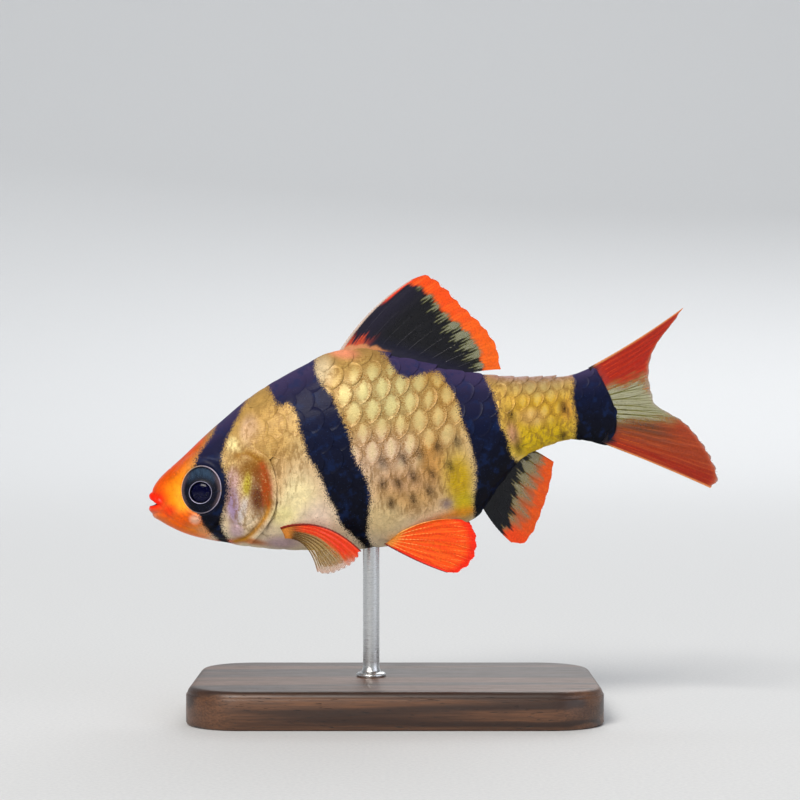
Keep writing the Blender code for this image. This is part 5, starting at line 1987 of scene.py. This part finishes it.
def turned(profile, side):
    """Points and faces of a profile turned round the eye's axis, and each point's distance in eye
    radii and angle."""
    around, ring = circle(EYE_SIDES)
    ring = ring * [EYE_HALF_LENGTH, EYE_HALF_HEIGHT]
    radii, heights = np.array(profile).T
    loops = []
    for out in radii[1:-1]:
        inner = 1 - ramp(out, 0.6, 1)
        loops.append(ring * [out, out * (1 - (1 - PUPIL_HEIGHT) * inner)] - [0, PUPIL_DROP * inner])
    local, faces = stacked(loops, heights + EYE_PLANE, (0, -PUPIL_DROP))
    points = eye_centre + local @ eye_turn.T
    if side > 0:
        points = points * [1, -1, 1]
    out = np.concatenate([[0], np.repeat(radii[1:-1], EYE_SIDES), [0]])
    turn = np.concatenate([[0], np.tile(around, len(loops)), [0]])
    return points, faces, out, turn


print("the pupil is", round(2 * PUPIL * EYE_HALF_LENGTH, 1), "mm long")

# %% [markdown]
# ### Finishes of the eye
#
# The iris is painted enamel, nearly black with blue, with thin spokes as in a living iris, and light from
# above glows blue-green in its top. A thin silver rim edges it, and a fine bright lip surrounds the pupil.
# These two are guanine, so they are half metallic. Cornea and lens are clear cast glass. Gloss is kept low,
# or the lamps would hide the pupil.

# %% Eye finishes
EYE_GLASS_IOR = 1.42
SPOKES = 22.0
IRIS_GRAIN_MM = 0.17
POLISH_MM = 0.5


def iris_finish():
    """Painted iris, from the stored distance from the axis and angle round it."""
    material, put, where = new_finish("iris_enamel")
    p = sources(put, where, ["out", "turn"], {"fine": (IRIS_GRAIN_MM, 3, 0.55)})
    out, fine = p["out"], p["fine"]
    rear, top = (put("Math", [p["turn"]], operation=way) for way in ("COSINE", "SINE"))
    sideways = mask(put, [rear, rear])
    round_axis = put("CombineXYZ", [top, rear, mask(put, [out, 0.25])])
    inputs = {"Vector": round_axis, "Scale": SPOKES, "Detail": 3, "Roughness": 0.55}
    spokes = put("TexNoise", inputs)
    light = (spokes, 0.3, 0.65, 0.4, 1)
    glow = [(out, 0.62, 0.82), (out, 0.94, 0.88), (top, 0.35, 0.9, 0, 0.45), light]
    smoke = [(out, 0.76, 0.93), (sideways, 0.2, 0.9, 0, 0.62)]
    rim = mask(put, [(out, 0.955, 0.968), (fine, 0.25, 0.6, 0.6, 1), (sideways, 0, 0.7, 0.4, 1)])
    lip = mask(put, [(out, 0.537, 0.547), (out, 0.568, 0.557), (spokes, 0.3, 0.6, 0.7, 1)])
    dark = coated(put, "#04050f", [("#111834", [(spokes, 0.4, 0.75, 0, 0.8)])])
    silver = coated(put, "#ffd8a4", [("#cec2d6", [(rear, -0.6, 0.2)])])
    coats = [("#466484", glow), ("#6c5a60", smoke), (silver, rim), ("#bcb8d6", lip)]
    bright = put("Math", [rim, lip], operation="MAXIMUM")
    inputs = {
        "Base Color": coated(put, dark, [*coats, ("#020208", [(out, 0.53, 0.52)])]),
        "Metallic": put("MapRange", [bright, 0, 1, 0, 0.5], **SMOOTH),
        "Roughness": put("MapRange", [fine, 0.3, 0.7, 0.28, 0.4], **SMOOTH),
        "Normal": put("Bump", {"Height": spokes, "Distance": 0.02 * MM}),
        "Specular IOR Level": 0.12,
    }
    close_finish(put, inputs)
    return material


def glass_finish(name, colour, cover):
    """Clear cast glass; only its reflections and a little tint show."""
    material, put, where = new_finish(name)
    polish = sources(put, where, noises={"polish": (POLISH_MM, 3, 0.55)})["polish"]
    inputs = {
        "Base Color": colour,
        "Roughness": put("MapRange", [polish, 0.3, 0.7, 0.05, 0.08], **SMOOTH),
        "Alpha": put("MapRange", [polish, 0.3, 0.7, cover, cover * 1.15], **SMOOTH),
        "IOR": EYE_GLASS_IOR,
        "Specular IOR Level": 0.2,
    }
    close_finish(put, inputs)
    return material


eye_layers = {
    "iris": (IRIS_PROFILE, iris_finish()),
    "lens": (LENS_PROFILE, glass_finish("lens_glass", "#030326", 0.94)),
    "cornea": (CORNEA_PROFILE, glass_finish("cornea_glass", "#101420", 0.06)),
}
for side, label in ((-1, "left"), (1, "right")):
    for part, (profile, finish_of) in eye_layers.items():
        points, faces, out, turn = turned(profile, side)
        marks = {"out": out, "turn": turn}
        make_piece(f"eye_{part}_{label}", posed(points), faces, finish_of, ["eye_" + label], marks)

# %% [markdown]
# ## The stand's wood and steel
#
# Oiled walnut is dark heartwood. Growth bands run along the block some 9 mm apart, broken by fibres and by
# open pores, which show as short dark dashes, and the oil gives a satin film. The pin is stainless steel,
# turned and brushed, so fine lines run round it and draw its reflections out. Steel is a metal and keeps
# the default IOR. Walnut has about 1.5, as oil and wood fibre do.

# %% Stand finishes
WALNUT_IOR = 1.5
BAND_WAVES = 34.0
# Sizes of the patterns along, across and up the block in mm, with detail and roughness
WALNUT_NOISE = {
    "bend": ((170, 9, 5), 2, 0.55),
    "close": ((34, 1.8, 1), 3, 0.6),
    "fibres": ((4, 0.17, 0.17), 4, 0.6),
    "pores": ((1.2, 0.11, 0.11), 1, 0.55),
}
# Real brushing is 0.01 mm fine and wouldn't show, so its lines are drawn 0.045 mm high
STEEL_NOISE = {"lines": ((1.6, 1.6, 0.045), 3, 0.55)}


def walnut_finish():
    material, put, where = new_finish("oiled_walnut")
    p = sources(put, where, noises=WALNUT_NOISE)
    waves = put("Math", [mask(put, [p["bend"], BAND_WAVES])], operation="SINE")
    bands = put("Math", [mask(put, [waves, 0.28]), p["close"]], **PLUS)
    pores = put("MapRange", [p["pores"], 0.66, 0.74], **SMOOTH)
    dark_fibres = [(p["fibres"], 0.3, 0.7, 0, 0.6)]
    coats = [("#6a452c", [(bands, 0.2, 0.85)]), ("#2a170e", dark_fibres), ("#160c07", [pores, 0.8])]
    relief = put("Math", [mask(put, [p["fibres"], 0.4]), pores], operation="SUBTRACT")
    inputs = {
        "Base Color": coated(put, "#301b10", coats),
        "Roughness": put("MapRange", [p["fibres"], 0.3, 0.7, 0.38, 0.52], **SMOOTH),
        "Normal": put("Bump", {"Height": relief, "Distance": 0.03 * MM}),
        "IOR": WALNUT_IOR,
        "Coat Weight": 0.15,
        "Coat Roughness": 0.3,
    }
    close_finish(put, inputs)
    return material


def steel_finish():
    material, put, where = new_finish("brushed_steel")
    lines = sources(put, where, noises=STEEL_NOISE)["lines"]
    inputs = {
        "Base Color": coated(put, "#b9bcbf", [("#d9dadb", lines)]),
        "Roughness": put("MapRange", [lines, 0.3, 0.7, 0.22, 0.36], **SMOOTH),
        "Normal": put("Bump", {"Height": lines, "Distance": 0.012 * MM}),
        "Metallic": 1,
    }
    close_finish(put, inputs)
    return material


walnut = walnut_finish()
steel = steel_finish()
print("walnut bands are about", WALNUT_NOISE["bend"][0][1], "mm wide")

# %% [markdown]
# ## The stand
#
# A plain walnut block with softened edges carries the model on one steel pin with a turned collar. A cube
# with a Bevel would do, but here foot and top differ, so the block is a stack of rounded rectangles. Pin
# and collar are one turned profile, so they meet without a joint.

# %% Block and pin
BASE_LENGTH = 44.0
BASE_WIDTH = 27.0
BASE_THICK = 4.0
BASE_CORNER = 6.0
LEAST_CORNER = 0.6
ROD_X = 24.4
ROD_RADIUS = 0.9
ROD_TOP = 3.0
CORNER_STEPS = 14
PIN_SIDES = 48
PIN_RINGS = 30
PIN_SINK = 0.3
TOP_ROUND = 0.76
# Inset of each ring of the block and its height: eased foot, side, small step, rounded top edge
BLOCK_PROFILE = [
    (0.35, 0), (0.12, 0.06), (0, 0.25), (0, 1.6), (0, 3.12), (0.04, 3.2), (0.14, 3.24),
    *[
        (0.14 + TOP_ROUND * (1 - math.cos(a)), 3.24 + TOP_ROUND * math.sin(a))
        for a in np.linspace(0.1, math.pi / 2, 8)
    ],
    (1.6, BASE_THICK), (3, BASE_THICK), (5, BASE_THICK),
]
# Radius of the collar's rings and their height over the block
COLLAR = [
    (1.55, 0), (1.62, 0.12), (1.6, 0.3), (1.45, 0.42), (1.2, 0.46), (1.08, 0.52), (1, 0.7),
    (0.93, 0.95),
]


def on_stand(points, x):
    """The stand isn't bent by the pose: its points, round an upright at a chart X, are only moved."""
    return (points + [x, 0, -BELLY_ABOVE_FLOOR] + [-BASE_CENTRE_X, 0, BELLY_ABOVE_FLOOR]) * MM


def rounded_loop(inset):
    """A rounded rectangle round the block's middle, drawn in by inset."""
    half = np.array([BASE_LENGTH / 2, BASE_WIDTH / 2]) - inset
    radius = max(BASE_CORNER - inset, LEAST_CORNER)
    loop = []
    for quarter, signs in enumerate(((1, 1), (-1, 1), (-1, -1), (1, -1))):
        corner = signs * (half - radius)
        for a in np.linspace(0, math.pi / 2, CORNER_STEPS) + quarter * math.pi / 2:
            loop.append((corner[0] + radius * math.cos(a), corner[1] + radius * math.sin(a)))
    return np.array(loop)


def make_block():
    insets, heights = zip(*BLOCK_PROFILE)
    points, faces = stacked([rounded_loop(inset) for inset in insets], [0, *heights, BASE_THICK])
    make_piece("stand_block", on_stand(points, BASE_CENTRE_X), faces, walnut, ["stand_base"])


def make_pin():
    top = ROD_TOP + BELLY_ABOVE_FLOOR
    profile = [(1.5, BASE_THICK - PIN_SINK)] + [(r, BASE_THICK + h) for r, h in COLLAR]
    profile += [(ROD_RADIUS, h) for h in np.linspace(BASE_THICK + 1.05, top - 0.25, PIN_RINGS)]
    profile += [(ROD_RADIUS - 0.08, top - 0.08), (ROD_RADIUS - 0.25, top)]
    radii, heights = zip(*profile)
    ring = circle(PIN_SIDES)[1]
    points, faces = stacked([ring * r for r in radii], [BASE_THICK - PIN_SINK, *heights, top])
    make_piece("stand_pin", on_stand(points, ROD_X), faces, steel, ["stand_rod"])


make_block()
make_pin()

# %% [markdown]
# ## Floor and light
#
# The model stands on pale matt paper that rises in a wide curve on every side, as in a photographer's cove,
# so no view meets a horizon. Four large soft lamps light it: the strongest above and in front on the head's
# side, a weak one for the tail, one behind for the edges of the fins, and one for the paper. Paper scatters
# light evenly, so its finish is rough, with a trace of fibre.

# %% Cove and lamps
FLAT_RADIUS = 0.65
COVE_RADIUS = 2.4
COVE_HEIGHT = 1.5
COVE_SIDES = 128
COVE_STEPS = 24
# Real fibres are finer and wouldn't show
PAPER_FIBRE_MM = 0.4


def paper_finish():
    material, put, where = new_finish("matt_paper")
    fibres = sources(put, where, noises={"fibres": (PAPER_FIBRE_MM, 3, 0.55)})["fibres"]
    inputs = {
        "Base Color": coated(put, "#cfd1d4", [("#d6d8da", [(fibres, 0.3, 0.7)])]),
        "Normal": put("Bump", {"Height": fibres, "Distance": 0.02 * MM}),
        "Roughness": 0.85,
    }
    close_finish(put, inputs)
    return material


def make_cove():
    rise = np.linspace(0, math.pi / 2, COVE_STEPS)
    radii = np.concatenate([[0.1, 0.4], FLAT_RADIUS + (COVE_RADIUS - FLAT_RADIUS) * np.sin(rise)])
    heights = np.concatenate([[0, 0], COVE_HEIGHT * (1 - np.cos(rise))])
    ring = circle(COVE_SIDES)[1]
    points, (sides, ends) = stacked([ring * r for r in radii], [0, *heights, COVE_HEIGHT])
    # The sheet is open at the top and is seen from inside, so it keeps only the floor's fan
    inward = [face[::-1].tolist() for face in (*ends[:COVE_SIDES], *sides)]
    mesh = bpy.data.meshes.new("cove")
    mesh.from_pydata(points[:-1].tolist(), [], inward)
    mesh.shade_smooth()
    mesh.materials.append(paper_finish())
    new_object("cove", mesh)


def lamp(name, place, size, power, colour, aim=(0, 0, 0.03)):
    light = bpy.data.lights.new(name, "AREA")
    light.energy = power
    light.size = size
    light.color = linear(colour)
    holder = new_object(name, light)
    holder.location = place
    holder.rotation_euler = (Vector(aim) - Vector(place)).to_track_quat("-Z", "Y").to_euler()
    holder.visible_camera = False


make_cove()
lamp("key", (-0.45, -0.95, 0.95), 0.6, 18.5, "#fffaf2")
lamp("fill", (0.95, -0.6, 0.35), 0.9, 4, "#f2f6ff")
lamp("edge", (0.25, 0.95, 0.8), 0.8, 5, "#ffffff")
lamp("backdrop", (0, 0.9, 1.5), 1.2, 12, "#ffffff", aim=(0, 2.2, 0.35))
world = bpy.data.worlds.new("studio_air")
bpy.context.scene.world = world
world.use_nodes = True
world.node_tree.nodes.clear()
air = add(world.node_tree, "Background", {"Color": "#eef2f6", "Strength": 0.22})
add(world.node_tree, "OutputWorld", {"Surface": air}, out=None)
bpy.context.scene.view_settings.view_transform = "Standard"
print("four lamps and a pale sky")
